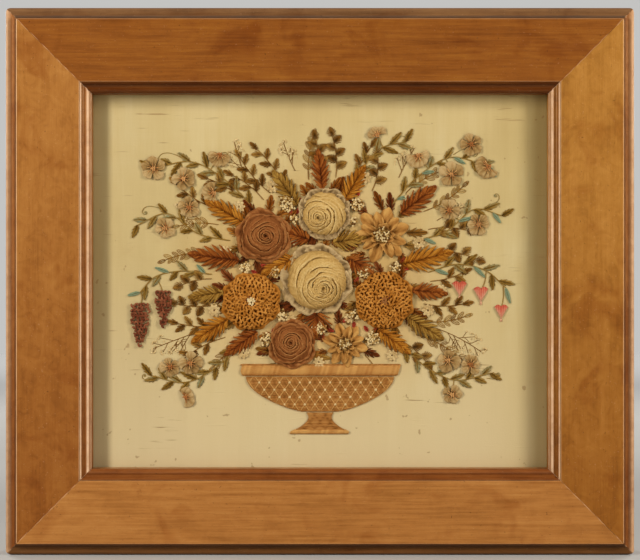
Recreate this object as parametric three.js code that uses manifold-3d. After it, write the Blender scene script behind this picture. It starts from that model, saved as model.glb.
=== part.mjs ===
// A framed silk embroidery picture: a mitred wooden frame with a coved outer edge and a beaded
// sight lip, a wooden panel in its rebate, a sheet of silk on the panel, and on the silk a footed
// bowl of raised flowers. Millimetres, +Z up. The picture faces -Y, and its back lies on y = 0,
// with the origin at the middle of the back.
import * as THREE from "three";
import { mergeVertices } from "three/addons/utils/BufferGeometryUtils.js";
import Module from "manifold-3d";

const wasm = await Module();
wasm.setup();

// Driving dimensions of the frame
const SIGHT_WIDTH = 403;
const SIGHT_HEIGHT = 331;
const RAIL_WIDTH = 74.5;
const OUTER_WIDTH = SIGHT_WIDTH + 2 * RAIL_WIDTH;
const OUTER_HEIGHT = SIGHT_HEIGHT + 2 * RAIL_WIDTH;
const GAP = 0.3;

// Heights of the frame's section over its back, from the outer edge inwards
const EDGE_WIDTH = 9.4;
const EDGE_TOP = 35.4;
const EDGE_BEAD_RADIUS = 1.8;
const FACE_OUTER = 36;
const FACE_INNER = 30.5;
const LIP_WIDTH = 9.4;
const LIP_SEAT = 20;
const LIP_TOP = 30.2;
const LIP_FILLET = 0.8;
const LIP_BEAD_RADIUS = 2;
const LIP_SHOULDER = 26.2;
const REBATE_WIDTH = 7;

// The cloth and what it is stretched on
const SILK_FRONT = 12;
const SILK_THICKNESS = 1.2;
const PANEL_CLEARANCE = 1;
const PANEL_WIDTH = SIGHT_WIDTH + 2 * (REBATE_WIDTH - PANEL_CLEARANCE);
const PANEL_HEIGHT = SIGHT_HEIGHT + 2 * (REBATE_WIDTH - PANEL_CLEARANCE);
const PANEL_THICKNESS = SILK_FRONT - SILK_THICKNESS - GAP;

// Heights of the needlework over the silk, and how far what lies over a piece cuts it clear
const LEAF_EDGE_HEIGHT = 0.9;
const LEAF_HEIGHT = 2.3;
const BOWL_HEIGHT = 1.3;
const STEM_RADIUS = 0.75;
const LEAFLET_HEIGHT = 1;
const BLOSSOM_HEIGHT = 1.6;
const CUT_MARGIN = 0.45;
const CUT_DEPTH = 40;

const COLOURS = {
  face: 0xa76a30,
  edge: 0x85542f,
  lip: 0x8a552c,
  panel: 0xb9946a,
  silk: 0xd2b67f,
  cream: 0xc9b485,
  ochre: 0xab7436,
  mauve: 0x93674f,
  tan: 0xb48a58,
  rust: 0x87501f,
  plum: 0x6f3524,
  brown: 0x7c5a2c,
  gold: 0x9c6b33,
  olive: 0x8d7540,
  purple: 0x6e3c35,
  coral: 0xc26655,
};

// Raised flowers. Places are from the middle of the picture, x to the right and y up.
const FLOWERS = [
  { name: "rose_centre", kind: "rose", colour: "cream", x: -3, y: 1, radius: 31, height: 11 },
  { name: "rose_top", kind: "rose", colour: "cream", x: 4, y: 60, radius: 23, height: 8.5 },
  { name: "carnation_left", kind: "carnation", colour: "ochre", x: -61, y: -18, radius: 27, height: 9 },
  { name: "carnation_right", kind: "carnation", colour: "ochre", x: 57, y: -17, radius: 27, height: 9 },
  { name: "spiral_upper_left", kind: "spiral", colour: "mauve", x: -50, y: 40, radius: 25, height: 9 },
  { name: "spiral_lower_left", kind: "spiral", colour: "mauve", x: -25, y: -56, radius: 22, height: 8 },
  { name: "star_upper_right", kind: "star", colour: "tan", x: 55, y: 41, radius: 26, height: 7.5 },
  { name: "star_lower_right", kind: "star", colour: "tan", x: 22, y: -56, radius: 20.5, height: 6.5 },
];

// How each kind of flower is folded: lobes round its edge, ridges from its middle out that wind
// round it by their twist, and how steeply it falls to its edge. Depths are shares of its radius
// and its height.
const FOLDS = {
  rose: { lobes: 5, lobeDepth: 0.05, twist: 1, ridges: 2.5, ridgeDepth: 0.13, fall: 2.6 },
  carnation: { lobes: 9, lobeDepth: 0.04, twist: 9, ridges: 2.5, ridgeDepth: 0.13, fall: 5 },
  spiral: { lobes: 4, lobeDepth: 0.05, twist: 1, ridges: 3.2, ridgeDepth: 0.14, fall: 3 },
  star: { lobes: 10, lobeDepth: 0.13, twist: 0, ridges: 1.5, ridgeDepth: 0.16, fall: 1.8 },
};
const FLOWER_GRIDS = {
  rose: { segments: 25, rings: 7 },
  carnation: { segments: 36, rings: 7 },
  spiral: { segments: 24, rings: 7 },
  star: { segments: 30, rings: 5 },
};
const FLOWER_RIM_SHARE = 0.3;
const FLOWER_BASE_SHARE = 0.93;

// Chenille leaves, each from its root along an angle in degrees. A flower covers what it
// overlaps, and an earlier leaf covers a later one.
const LEAVES = [
  { name: "leaf_left_high", x: -72, y: 18, angle: 172, length: 46, width: 21, colour: "plum" },
  { name: "leaf_left_top", x: -68, y: 52, angle: 150, length: 40, width: 19, colour: "rust" },
  { name: "leaf_left_middle", x: -86, y: -10, angle: 188, length: 32, width: 15, colour: "brown" },
  { name: "leaf_left_low", x: -82, y: -34, angle: 212, length: 38, width: 18, colour: "rust" },
  { name: "leaf_rim_left", x: -56, y: -45, angle: 216, length: 36, width: 16, colour: "plum" },
  { name: "leaf_top_left", x: -20, y: 68, angle: 126, length: 38, width: 17, colour: "brown" },
  { name: "leaf_top", x: 2, y: 82, angle: 96, length: 36, width: 15, colour: "plum" },
  { name: "leaf_top_right", x: 22, y: 72, angle: 60, length: 36, width: 17, colour: "rust" },
  { name: "leaf_right_top", x: 72, y: 60, angle: 38, length: 40, width: 19, colour: "plum" },
  { name: "leaf_right_high", x: 74, y: 15, angle: 14, length: 46, width: 21, colour: "rust" },
  { name: "leaf_right_middle", x: 82, y: -8, angle: -6, length: 32, width: 15, colour: "plum" },
  { name: "leaf_right_low", x: 78, y: -32, angle: -32, length: 38, width: 18, colour: "brown" },
  { name: "leaf_rim_right", x: 52, y: -43, angle: -37, length: 36, width: 16, colour: "rust" },
  { name: "leaf_gap_left", x: -22, y: 21, angle: 207, length: 34, width: 20, colour: "rust" },
  { name: "leaf_gap_upper_left", x: -10, y: 37, angle: 162, length: 28, width: 20, colour: "plum" },
  { name: "leaf_gap_right", x: 26, y: 20, angle: -32, length: 26, width: 20, colour: "plum" },
  { name: "leaf_gap_upper_right", x: 12, y: 34, angle: 10, length: 30, width: 18, colour: "brown" },
  { name: "leaf_gap_low", x: -2, y: -28, angle: 262, length: 24, width: 30, colour: "plum" },
];
const LEAF_ROWS = 10;
const LEAF_COLUMNS = 4;
const LEAF_TOOTH = 0.2;
const LEAF_TIP = 0.5;

// Stitched sprays: a stem through its points, leaflets along it on its two sides in turn, and
// blossoms. A blossom grows from a share of the stem's length, on a stalk to the left of its run
// (to the right if the reach is below nought). Hangers run from the stem to what hangs below it.
const SPRAYS = [
  {
    name: "spray_upper_left",
    route: [[-58, 64], [-82, 88], [-114, 106], [-148, 100]],
    leaflets: 13,
    blossoms: [
      { at: 0.36, reach: 15, radius: 9.5 },
      { at: 0.5, reach: -16, radius: 10 },
      { at: 0.76, reach: 15, radius: 9 },
      { at: 1, reach: 0, radius: 9.5 },
    ],
  },
  {
    name: "spray_upper_right",
    route: [[64, 68], [86, 92], [116, 110], [150, 102]],
    leaflets: 13,
    blossoms: [
      { at: 0.44, reach: 15, radius: 9.5 },
      { at: 0.62, reach: -15, radius: 9.5 },
      { at: 0.8, reach: 14, radius: 8.5 },
      { at: 1, reach: 0, radius: 10 },
    ],
  },
  {
    name: "spray_top",
    route: [[30, 80], [38, 100], [54, 118], [76, 124]],
    leaflets: 10,
    blossoms: [{ at: 0.7, reach: 12, radius: 7 }],
  },
  {
    name: "spray_middle_left",
    route: [[-80, 36], [-108, 42], [-136, 60], [-162, 50]],
    leaflets: 10,
    blossoms: [
      { at: 0.55, reach: -14, radius: 8.5 },
      { at: 0.72, reach: 13, radius: 8.5 },
    ],
  },
  {
    name: "spray_middle_right",
    route: [[86, 36], [112, 44], [138, 64], [162, 58]],
    leaflets: 10,
    blossoms: [
      { at: 0.5, reach: 13, radius: 8.5 },
      { at: 0.72, reach: -14, radius: 8.5 },
    ],
  },
  {
    name: "spray_left",
    route: [[-96, 6], [-122, 9], [-146, 4], [-160, -10]],
    leaflets: 9,
    blossoms: [],
    hangers: [{ at: 0.72, x: -139, y: -14 }, { at: 0.98, x: -160, y: -24 }],
  },
  {
    name: "spray_right",
    route: [[96, 8], [122, 15], [148, 9], [165, -6]],
    leaflets: 9,
    blossoms: [],
    hangers: [{ at: 0.42, x: 124, y: -4 }, { at: 0.7, x: 143, y: -9 }, { at: 0.96, x: 161, y: -25 }],
  },
  {
    name: "spray_lower_left",
    route: [[-74, -58], [-94, -78], [-120, -90], [-150, -84]],
    leaflets: 13,
    blossoms: [
      { at: 0.52, reach: -15, radius: 9 },
      { at: 0.66, reach: 13, radius: 8 },
      { at: 0.84, reach: -12, radius: 8 },
    ],
  },
  {
    name: "spray_lower_right",
    route: [[72, -56], [94, -76], [120, -88], [151, -82]],
    leaflets: 13,
    blossoms: [
      { at: 0.5, reach: 15, radius: 9 },
      { at: 0.64, reach: -13, radius: 8 },
      { at: 0.84, reach: 12, radius: 8 },
    ],
  },
];
const STEM_STEPS = 12;
const STALK_RADIUS = 0.5;
const LEAFLET_LENGTH = 13;
const LEAFLET_SPREAD = 38;
const LEAFLET_SLIMNESS = 0.36;
const LEAFLET_START = 0.8;
const BLOSSOM_PETALS = 5;
const BLOSSOM_NOTCH = 0.3;

// Knotted clusters and hearts that hang at the outer ends of two sprays, from their tops
const CLUSTERS = [
  { name: "cluster_outer", x: -160, y: -20, length: 38, width: 16 },
  { name: "cluster_inner", x: -139, y: -9, length: 32, width: 14 },
];
const CLUSTER_HEIGHT = 3;
const CLUSTER_ROWS = 12;
const HEARTS = [
  { name: "heart_inner", x: 124, y: 0, size: 13 },
  { name: "heart_middle", x: 143, y: -5, size: 13 },
  { name: "heart_outer", x: 161, y: -21, size: 12 },
];
const HEART_HEIGHT = 2.2;
const HEART_BEVEL = 0.6;

// The footed bowl, and the bands that are raised across it
const BOWL = { base: -116, top: -84.4, narrow: 14, wide: 66, rows: 8, columns: 4 };
const RIM = { base: -84, top: -74, wide: 72, rows: 2, columns: 6 };
const FOOT = { base: -136, top: -116.4, narrow: 9, wide: 32, rows: 8, columns: 2 };
const BAND_HEIGHT = 0.35;

// A plain geometry whose shared points are merged
function weld(geometry) {
  const plain = geometry.clone();
  plain.deleteAttribute("normal");
  plain.deleteAttribute("uv");
  return mergeVertices(plain, 1e-4);
}

function toSolid(geometry) {
  const welded = weld(geometry);
  const vertProperties = welded.attributes.position.array;
  const triVerts = new Uint32Array(welded.index.array);
  return new wasm.Manifold(new wasm.Mesh({ numProp: 3, vertProperties, triVerts }));
}

function toGeometry(solid) {
  const { numProp, vertProperties, triVerts } = solid.getMesh();
  const points = [];
  for (let i = 0; i < vertProperties.length; i += numProp) {
    points.push(vertProperties[i], vertProperties[i + 1], vertProperties[i + 2]);
  }
  const geometry = new THREE.BufferGeometry();
  geometry.setAttribute("position", new THREE.Float32BufferAttribute(points, 3));
  geometry.setIndex([...triVerts]);
  geometry.computeVertexNormals();
  return geometry;
}

function largestBody(solid) {
  const bodies = solid.decompose();
  return bodies.reduce((most, body) => (body.volume() > most.volume() ? body : most));
}

// What is left of a piece round the pieces that lie over it
function cutBy(geometry, cutters) {
  const rest = cutters.reduce((solid, cutter) => solid.subtract(cutter), toSolid(geometry));
  return toGeometry(largestBody(rest));
}

function named(name, geometry, colour, roughness = 0.8) {
  const material = new THREE.MeshStandardMaterial({ color: COLOURS[colour], roughness, metalness: 0 });
  const mesh = new THREE.Mesh(geometry, material);
  mesh.name = name;
  return mesh;
}

// Sections of the frame's three mouldings: x runs inwards from the outer edge, y up from the back
function faceSection() {
  const inner = RAIL_WIDTH - LIP_WIDTH - GAP;
  return new THREE.Shape([
    new THREE.Vector2(EDGE_WIDTH + GAP, 0),
    new THREE.Vector2(RAIL_WIDTH - REBATE_WIDTH, 0),
    new THREE.Vector2(RAIL_WIDTH - REBATE_WIDTH, SILK_FRONT + GAP),
    new THREE.Vector2(RAIL_WIDTH, SILK_FRONT + GAP),
    new THREE.Vector2(RAIL_WIDTH, LIP_SEAT - GAP),
    new THREE.Vector2(inner, LIP_SEAT - GAP),
    new THREE.Vector2(inner, FACE_INNER),
    new THREE.Vector2(EDGE_WIDTH + GAP, FACE_OUTER),
  ]);
}

function edgeSection() {
  const beadInner = 2 * EDGE_BEAD_RADIUS;
  const coveRadius = EDGE_WIDTH - beadInner;
  const beadHeight = EDGE_TOP - coveRadius;
  const shape = new THREE.Shape();
  shape.moveTo(0, 0);
  shape.lineTo(EDGE_WIDTH, 0);
  shape.lineTo(EDGE_WIDTH, EDGE_TOP);
  shape.absarc(beadInner, EDGE_TOP, coveRadius, 0, -Math.PI / 2, true);
  shape.absarc(EDGE_BEAD_RADIUS, beadHeight, EDGE_BEAD_RADIUS, 0, Math.PI, false);
  return shape;
}

function lipSection() {
  const outer = RAIL_WIDTH - LIP_WIDTH;
  const beadCentre = RAIL_WIDTH - LIP_FILLET - LIP_BEAD_RADIUS;
  const coveEnd = beadCentre - LIP_BEAD_RADIUS;
  const shape = new THREE.Shape();
  shape.moveTo(outer, LIP_SEAT);
  shape.lineTo(RAIL_WIDTH, LIP_SEAT);
  shape.lineTo(RAIL_WIDTH, LIP_SHOULDER);
  shape.absarc(beadCentre, LIP_SHOULDER, LIP_BEAD_RADIUS, 0, Math.PI, false);
  shape.absellipse(coveEnd, LIP_TOP, coveEnd - outer, LIP_TOP - LIP_SHOULDER, -Math.PI / 2, -Math.PI, true);
  return shape;
}

// A moulding of one section with both its ends mitred. Its outer edge lies on local z = 0 and
// its back on local y = 0.
function mitredLength(section, length) {
  const geometry = new THREE.ExtrudeGeometry(section, { depth: 1, bevelEnabled: false, curveSegments: 5 });
  const point = geometry.attributes.position;
  const mitreGap = (GAP * Math.SQRT2) / 2;
  for (let i = 0; i < point.count; i++) {
    const inwards = point.getX(i);
    const half = length / 2 - inwards - mitreGap;
    const along = point.getZ(i) > 0.5 ? half : -half;
    point.setXYZ(i, -along, -point.getY(i), -inwards);
  }
  return geometry;
}

function frame() {
  const group = new THREE.Group();
  const sides = [
    { side: "top", length: OUTER_WIDTH, reach: OUTER_HEIGHT / 2, turn: 0 },
    { side: "right", length: OUTER_HEIGHT, reach: OUTER_WIDTH / 2, turn: Math.PI / 2 },
    { side: "bottom", length: OUTER_WIDTH, reach: OUTER_HEIGHT / 2, turn: Math.PI },
    { side: "left", length: OUTER_HEIGHT, reach: OUTER_WIDTH / 2, turn: -Math.PI / 2 },
  ];
  for (const { side, length, reach, turn } of sides) {
    const rail = new THREE.Group();
    const face = named(`rail_${side}`, mitredLength(faceSection(), length), "face", 0.4);
    const edge = named(`edge_${side}`, mitredLength(edgeSection(), length), "edge", 0.4);
    const lip = named(`lip_${side}`, mitredLength(lipSection(), length), "lip", 0.4);
    for (const piece of [face, edge, lip]) piece.position.z = reach;
    rail.add(face, edge, lip);
    rail.rotation.y = turn;
    group.add(rail);
  }
  return group;
}

function panel() {
  const board = new THREE.BoxGeometry(PANEL_WIDTH, PANEL_THICKNESS, PANEL_HEIGHT);
  const mesh = named("panel", board, "panel", 0.9);
  mesh.position.y = -PANEL_THICKNESS / 2;
  return mesh;
}

function silk() {
  const cloth = new THREE.BoxGeometry(PANEL_WIDTH, SILK_THICKNESS, PANEL_HEIGHT);
  const mesh = named("silk_ground", cloth, "silk", 0.6);
  mesh.position.y = -SILK_FRONT + SILK_THICKNESS / 2;
  return mesh;
}

// A closed slab made from a box's grid: place(s, t, top) gives the point at a share s of its
// length and t, from -1 to 1, across it, on its top or underneath
function slab(rows, columns, place) {
  const geometry = new THREE.BoxGeometry(1, 1, 1, rows, columns, 1);
  const point = geometry.attributes.position;
  for (let i = 0; i < point.count; i++) {
    point.setXYZ(i, ...place(point.getX(i) + 0.5, 2 * point.getY(i), point.getZ(i) > 0));
  }
  return geometry;
}

// A gathered flower: a dome whose edge is lobed and whose folds run round it or spiral inwards
function flowerGeometry({ kind, radius, height }) {
  const fold = FOLDS[kind];
  const { segments, rings } = FLOWER_GRIDS[kind];
  const rim = height * FLOWER_RIM_SHARE;
  const profile = [new THREE.Vector2(0, 0), new THREE.Vector2(radius * FLOWER_BASE_SHARE, 0)];
  for (let ring = 0; ring <= rings; ring++) {
    const share = 1 - ring / rings;
    profile.push(new THREE.Vector2(radius * share, rim + (height - rim) * (1 - share ** fold.fall)));
  }
  const geometry = new THREE.LatheGeometry(profile, segments);
  geometry.rotateX(Math.PI / 2);
  const point = geometry.attributes.position;
  for (let i = 0; i < point.count; i++) {
    const x = point.getX(i);
    const y = point.getY(i);
    const share = Math.hypot(x, y) / radius;
    const around = Math.atan2(y, x);
    const lobe = 1 + fold.lobeDepth * share * Math.cos(fold.lobes * around);
    const wave = Math.cos(fold.twist * around - 2 * Math.PI * fold.ridges * share);
    const raised = point.getZ(i) > rim / 2 ? height * fold.ridgeDepth * wave * share * (2 - share) : 0;
    point.setXYZ(i, x * lobe, y * lobe, Math.max(point.getZ(i) + raised, 0));
  }
  return geometry;
}

function flowers() {
  return FLOWERS.map((flower) => {
    const mesh = named(flower.name, flowerGeometry(flower), flower.colour, 0.9);
    mesh.position.set(flower.x, flower.y, GAP);
    return mesh;
  });
}

function flowerCutter({ x, y, radius, kind }) {
  const reach = radius * (1 + FOLDS[kind].lobeDepth) + CUT_MARGIN;
  const disc = new THREE.CylinderGeometry(reach, reach, CUT_DEPTH, FLOWER_GRIDS[kind].segments);
  disc.rotateX(Math.PI / 2);
  disc.translate(x, y, 0);
  return toSolid(disc);
}

// Half of a leaf's width at a share of its length, with a tooth at every second row
function leafHalfWidth(s, width) {
  const tooth = Math.round(s * LEAF_ROWS) % 2 ? 1 + LEAF_TOOTH : 1 - LEAF_TOOTH;
  return Math.max((width / 2) * Math.max(Math.sin(Math.PI * s ** 0.8), 0) ** 0.8 * tooth, LEAF_TIP);
}

// Two padded halves with a groove along the midrib
function leafHeight(t) {
  const across = Math.abs(t);
  return LEAF_EDGE_HEIGHT + (LEAF_HEIGHT - LEAF_EDGE_HEIGHT) * (1 - (2 * across - 0.9) ** 2 * 0.8);
}

function leafGeometry({ x, y, angle, length, width }) {
  const geometry = slab(LEAF_ROWS, LEAF_COLUMNS, (s, t, top) => [
    s * length,
    t * leafHalfWidth(s, width),
    top ? leafHeight(t) : 0,
  ]);
  geometry.rotateZ(THREE.MathUtils.degToRad(angle));
  geometry.translate(x, y, GAP);
  return geometry;
}

function leafCutter({ x, y, angle, length, width }) {
  const geometry = slab(LEAF_ROWS, 1, (s, t, top) => [
    s * (length + 2 * CUT_MARGIN) - CUT_MARGIN,
    t * (leafHalfWidth(s, width) + 2 * CUT_MARGIN),
    top ? CUT_DEPTH / 2 : -CUT_DEPTH / 2,
  ]);
  geometry.rotateZ(THREE.MathUtils.degToRad(angle));
  geometry.translate(x, y, 0);
  return toSolid(geometry);
}

function bowlHalfWidth(share) {
  return BOWL.narrow + (BOWL.wide - BOWL.narrow) * Math.sin((Math.PI / 2) * share) ** 0.7;
}

function rimHalfWidth(share) {
  return RIM.wide - 3 * (1 - share);
}

function footHalfWidth(share) {
  return FOOT.narrow + (FOOT.wide - FOOT.narrow) * (1 - share) ** 2.4 + 4 * share ** 6;
}

// An upright slab of the bowl, with a raised band at every second row
function bandedSlab({ base, top, rows, columns }, halfWidth) {
  const geometry = slab(rows, columns, (s, t, above) => {
    const band = Math.round(s * rows) % 2 ? BAND_HEIGHT : 0;
    return [-t * halfWidth(s), base + (top - base) * s, above ? BOWL_HEIGHT + band : 0];
  });
  geometry.translate(0, 0, GAP);
  return geometry;
}

function clusterGeometry({ x, y, length, width }) {
  const geometry = slab(CLUSTER_ROWS, 4, (s, t, top) => {
    const bump = Math.round(s * CLUSTER_ROWS) % 2 ? 1 : 0.84;
    const taper = Math.max(Math.sin(Math.PI * s ** 0.55), 0) ** 0.55;
    const half = Math.max((width / 2) * bump * taper, 0.8);
    return [s * length, t * half, top ? 1 + (CLUSTER_HEIGHT - 1) * (1 - t * t) * bump : 0];
  });
  geometry.rotateZ(-Math.PI / 2);
  geometry.translate(x, y, GAP);
  return geometry;
}

function heartGeometry({ x, y, size }) {
  const half = size / 2;
  const shape = new THREE.Shape();
  shape.moveTo(0, half * 0.62);
  shape.bezierCurveTo(half * 0.3, half * 1.2, half * 1.1, half * 0.8, half * 0.9, half * 0.05);
  shape.quadraticCurveTo(half * 0.7, -half * 0.7, 0, -half * 1.2);
  shape.quadraticCurveTo(-half * 0.7, -half * 0.7, -half * 0.9, half * 0.05);
  shape.bezierCurveTo(-half * 1.1, half * 0.8, -half * 0.3, half * 1.2, 0, half * 0.62);
  const geometry = new THREE.ExtrudeGeometry(shape, {
    depth: HEART_HEIGHT - 2 * HEART_BEVEL,
    bevelThickness: HEART_BEVEL,
    bevelSize: HEART_BEVEL,
    bevelOffset: -HEART_BEVEL,
    bevelSegments: 1,
    curveSegments: 3,
  });
  geometry.translate(x, y - half, GAP + HEART_BEVEL);
  return geometry;
}

// A piece grown sideways round its middle and stretched through the silk, to cut what it covers
function coverCutter(geometry) {
  geometry.computeBoundingBox();
  const size = geometry.boundingBox.getSize(new THREE.Vector3());
  const middle = geometry.boundingBox.getCenter(new THREE.Vector3());
  const grown = geometry.clone().translate(-middle.x, -middle.y, -middle.z);
  grown.scale(1 + (3 * CUT_MARGIN) / size.x, 1 + (3 * CUT_MARGIN) / size.y, CUT_DEPTH / size.z);
  grown.translate(middle.x, middle.y, 0);
  return toSolid(grown);
}

function leafletGeometry(root, angle) {
  const bulge = LEAFLET_LENGTH * LEAFLET_SLIMNESS;
  const shape = new THREE.Shape();
  shape.quadraticCurveTo(LEAFLET_LENGTH * 0.4, -bulge, LEAFLET_LENGTH, 0);
  shape.quadraticCurveTo(LEAFLET_LENGTH * 0.4, bulge, 0, 0);
  const geometry = new THREE.ExtrudeGeometry(shape, {
    depth: LEAFLET_HEIGHT,
    bevelEnabled: false,
    curveSegments: 3,
  });
  geometry.rotateZ(angle);
  geometry.translate(root.x, root.y, GAP);
  return geometry;
}

function blossomGeometry(centre, radius) {
  const outline = [];
  const points = 3 * BLOSSOM_PETALS;
  for (let i = 0; i < points; i++) {
    const turn = (2 * Math.PI * i) / points;
    const reach = radius * (i % 3 ? 1 : 1 - BLOSSOM_NOTCH);
    outline.push(new THREE.Vector2(reach * Math.cos(turn), reach * Math.sin(turn)));
  }
  const geometry = new THREE.ExtrudeGeometry(new THREE.Shape(outline), {
    depth: BLOSSOM_HEIGHT,
    bevelEnabled: false,
  });
  geometry.translate(centre.x, centre.y, GAP);
  return geometry;
}

function threadGeometry(curve, radius, steps) {
  const section = new THREE.Shape().absarc(0, 0, radius, 0, 2 * Math.PI, false);
  return new THREE.ExtrudeGeometry(section, { steps, curveSegments: 3, extrudePath: curve });
}

// A stem with its leaflets and blossoms, joined into one body
function sprayGeometry({ route, leaflets, blossoms, hangers = [] }) {
  const stem = new THREE.CatmullRomCurve3(route.map(([x, y]) => new THREE.Vector3(x, y, GAP + STEM_RADIUS)));
  const parts = [threadGeometry(stem, STEM_RADIUS, STEM_STEPS)];
  for (let i = 0; i < leaflets; i++) {
    const at = (i + LEAFLET_START) / (leaflets - 1 + LEAFLET_START);
    const run = stem.getTangentAt(at);
    const side = i % 2 ? 1 : -1;
    const angle = Math.atan2(run.y, run.x) + side * THREE.MathUtils.degToRad(LEAFLET_SPREAD);
    parts.push(leafletGeometry(stem.getPointAt(at), angle));
  }
  for (const { at, reach, radius } of blossoms) {
    const start = stem.getPointAt(at);
    const run = stem.getTangentAt(at);
    const centre = new THREE.Vector3(start.x - run.y * reach, start.y + run.x * reach, start.z);
    parts.push(blossomGeometry(centre, radius));
    if (reach) parts.push(threadGeometry(new THREE.LineCurve3(start, centre), STALK_RADIUS, 1));
  }
  for (const { at, x, y } of hangers) {
    const end = new THREE.Vector3(x, y, GAP + STEM_RADIUS);
    parts.push(threadGeometry(new THREE.LineCurve3(stem.getPointAt(at), end), STALK_RADIUS, 1));
  }
  return toGeometry(parts.map(toSolid).reduce((whole, part) => whole.add(part)));
}

// Everything on the silk, in the picture's plane: x to the right, y up and z out from the silk
function needlework() {
  const group = new THREE.Group();
  const clusters = CLUSTERS.map((cluster) => named(cluster.name, clusterGeometry(cluster), "purple", 0.9));
  const hearts = HEARTS.map((heart) => named(heart.name, heartGeometry(heart), "coral", 0.6));
  const overLeaves = FLOWERS.map(flowerCutter);
  group.add(...flowers(), ...clusters, ...hearts);
  for (const leaf of LEAVES) {
    group.add(named(leaf.name, cutBy(leafGeometry(leaf), overLeaves), leaf.colour, 0.95));
    overLeaves.push(leafCutter(leaf));
  }
  const bowl = [
    named("bowl_body", bandedSlab(BOWL, bowlHalfWidth), "gold"),
    named("bowl_rim", bandedSlab(RIM, rimHalfWidth), "gold"),
    named("bowl_foot", bandedSlab(FOOT, footHalfWidth), "gold"),
  ];
  for (const piece of bowl) piece.geometry = cutBy(piece.geometry, overLeaves);
  group.add(...bowl);

  const hangingCutters = [...clusters, ...hearts].map(({ geometry }) => coverCutter(geometry));
  const overSprays = [...overLeaves, ...hangingCutters];
  for (const spray of SPRAYS) {
    group.add(named(spray.name, cutBy(sprayGeometry(spray), overSprays), "olive"));
  }

  group.rotation.x = Math.PI / 2;
  group.position.y = -SILK_FRONT;
  return group;
}

const picture = new THREE.Group();
picture.add(frame(), panel(), silk(), needlework());

export default picture;
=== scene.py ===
"""Dresses the framed silk embroidery picture: worn and polished mouldings, a stretched silk ground, and
needlework in gauze, crepe, chenille and silk floss. Lengths are millimetres until a mesh is made."""
import math

import bpy
import numpy as np
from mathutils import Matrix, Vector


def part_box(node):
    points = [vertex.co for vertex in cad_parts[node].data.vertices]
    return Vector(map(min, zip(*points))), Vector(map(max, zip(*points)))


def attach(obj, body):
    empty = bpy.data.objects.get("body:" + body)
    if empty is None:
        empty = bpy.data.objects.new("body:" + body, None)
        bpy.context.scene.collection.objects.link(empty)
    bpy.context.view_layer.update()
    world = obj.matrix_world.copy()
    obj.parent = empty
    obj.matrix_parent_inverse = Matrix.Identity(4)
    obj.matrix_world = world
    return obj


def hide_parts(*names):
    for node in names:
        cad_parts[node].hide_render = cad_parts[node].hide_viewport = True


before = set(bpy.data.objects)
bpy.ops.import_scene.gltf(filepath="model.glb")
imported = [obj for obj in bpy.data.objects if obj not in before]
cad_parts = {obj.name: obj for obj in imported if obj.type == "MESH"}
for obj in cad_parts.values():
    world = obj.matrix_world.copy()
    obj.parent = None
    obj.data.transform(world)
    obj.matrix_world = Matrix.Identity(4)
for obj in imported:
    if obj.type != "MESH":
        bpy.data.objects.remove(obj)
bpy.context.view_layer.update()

MM = 0.001
BODY = "root"
scene = bpy.context.scene


def span(node):
    """A CAD node's lowest and highest corners."""
    low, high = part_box(node)
    return np.array(low) / MM, np.array(high) / MM


# Places that the frame gives
HALF_WIDTH = span("edge_right")[1][0]
HALF_HEIGHT = span("edge_top")[1][2]
SIGHT_HALF_WIDTH = span("lip_right")[0][0]
RAIL_WIDTH = HALF_WIDTH - SIGHT_HALF_WIDTH
EDGE_WIDTH = HALF_WIDTH - span("edge_right")[0][0]
EDGE_TOP = -span("edge_right")[0][1]
FACE_OUTER = -span("rail_right")[0][1]
LIP_WIDTH = span("lip_right")[1][0] - SIGHT_HALF_WIDTH
LIP_TOP = -span("lip_right")[0][1]
LIP_SEAT = -span("lip_right")[1][1]
SILK_FRONT = -span("silk_ground")[0][1]
SILK_BACK = -span("silk_ground")[1][1]

# Sizes of the frame's section that its boxes don't give
GAP = 0.3
FACE_INNER = 30.5
EDGE_BEAD_RADIUS = 1.8
LIP_FILLET = 0.8
LIP_BEAD_RADIUS = 2
LIP_SHOULDER = 26.2
REBATE_WIDTH = 7


# Camera

CAMERA_DISTANCE = 1.528
CAMERA_LENS = 95.9
CAMERA_HEIGHT = 0.001
SENSOR_WIDTH = 36


def make_camera():
    data = bpy.data.cameras.new("camera")
    data.lens = CAMERA_LENS
    data.sensor_width = SENSOR_WIDTH
    camera = bpy.data.objects.new("camera", data)
    camera.location = (0, -CAMERA_DISTANCE, CAMERA_HEIGHT)
    camera.rotation_euler = (math.radians(90), 0, 0)
    scene.collection.objects.link(camera)
    scene.camera = camera


make_camera()


# Noise and meshes

CLOTH_THICKNESS = 0.25


def noise(x, y, seed=0, period=64):
    """Smooth noise from -1 to 1, with one cell to a unit, that repeats along x."""
    table = np.random.default_rng(seed).uniform(-1, 1, (64, 64))
    x, y = np.asarray(x, float), np.asarray(y, float)
    column, row = np.floor(x).astype(int), np.floor(y).astype(int)
    u, v = x - column, y - row
    u, v = u * u * (3 - 2 * u), v * v * (3 - 2 * v)

    def corner(i, j):
        return table[(column + i) % period % 64, (row + j) % 64]

    low = corner(0, 0) * (1 - u) + corner(1, 0) * u
    high = corner(0, 1) * (1 - u) + corner(1, 1) * u
    return low * (1 - v) + high * v


def polar(angle, reach):
    return np.array([math.cos(angle), math.sin(angle)]) * reach


def circle(count, start=0.0):
    return start + 2 * np.pi * np.arange(count) / count


def smooth(value):
    value = np.clip(value, 0, 1)
    return value * value * (3 - 2 * value)


def unit(vectors):
    return vectors / (np.linalg.norm(vectors, axis=-1, keepdims=True) + 1e-9)


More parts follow.
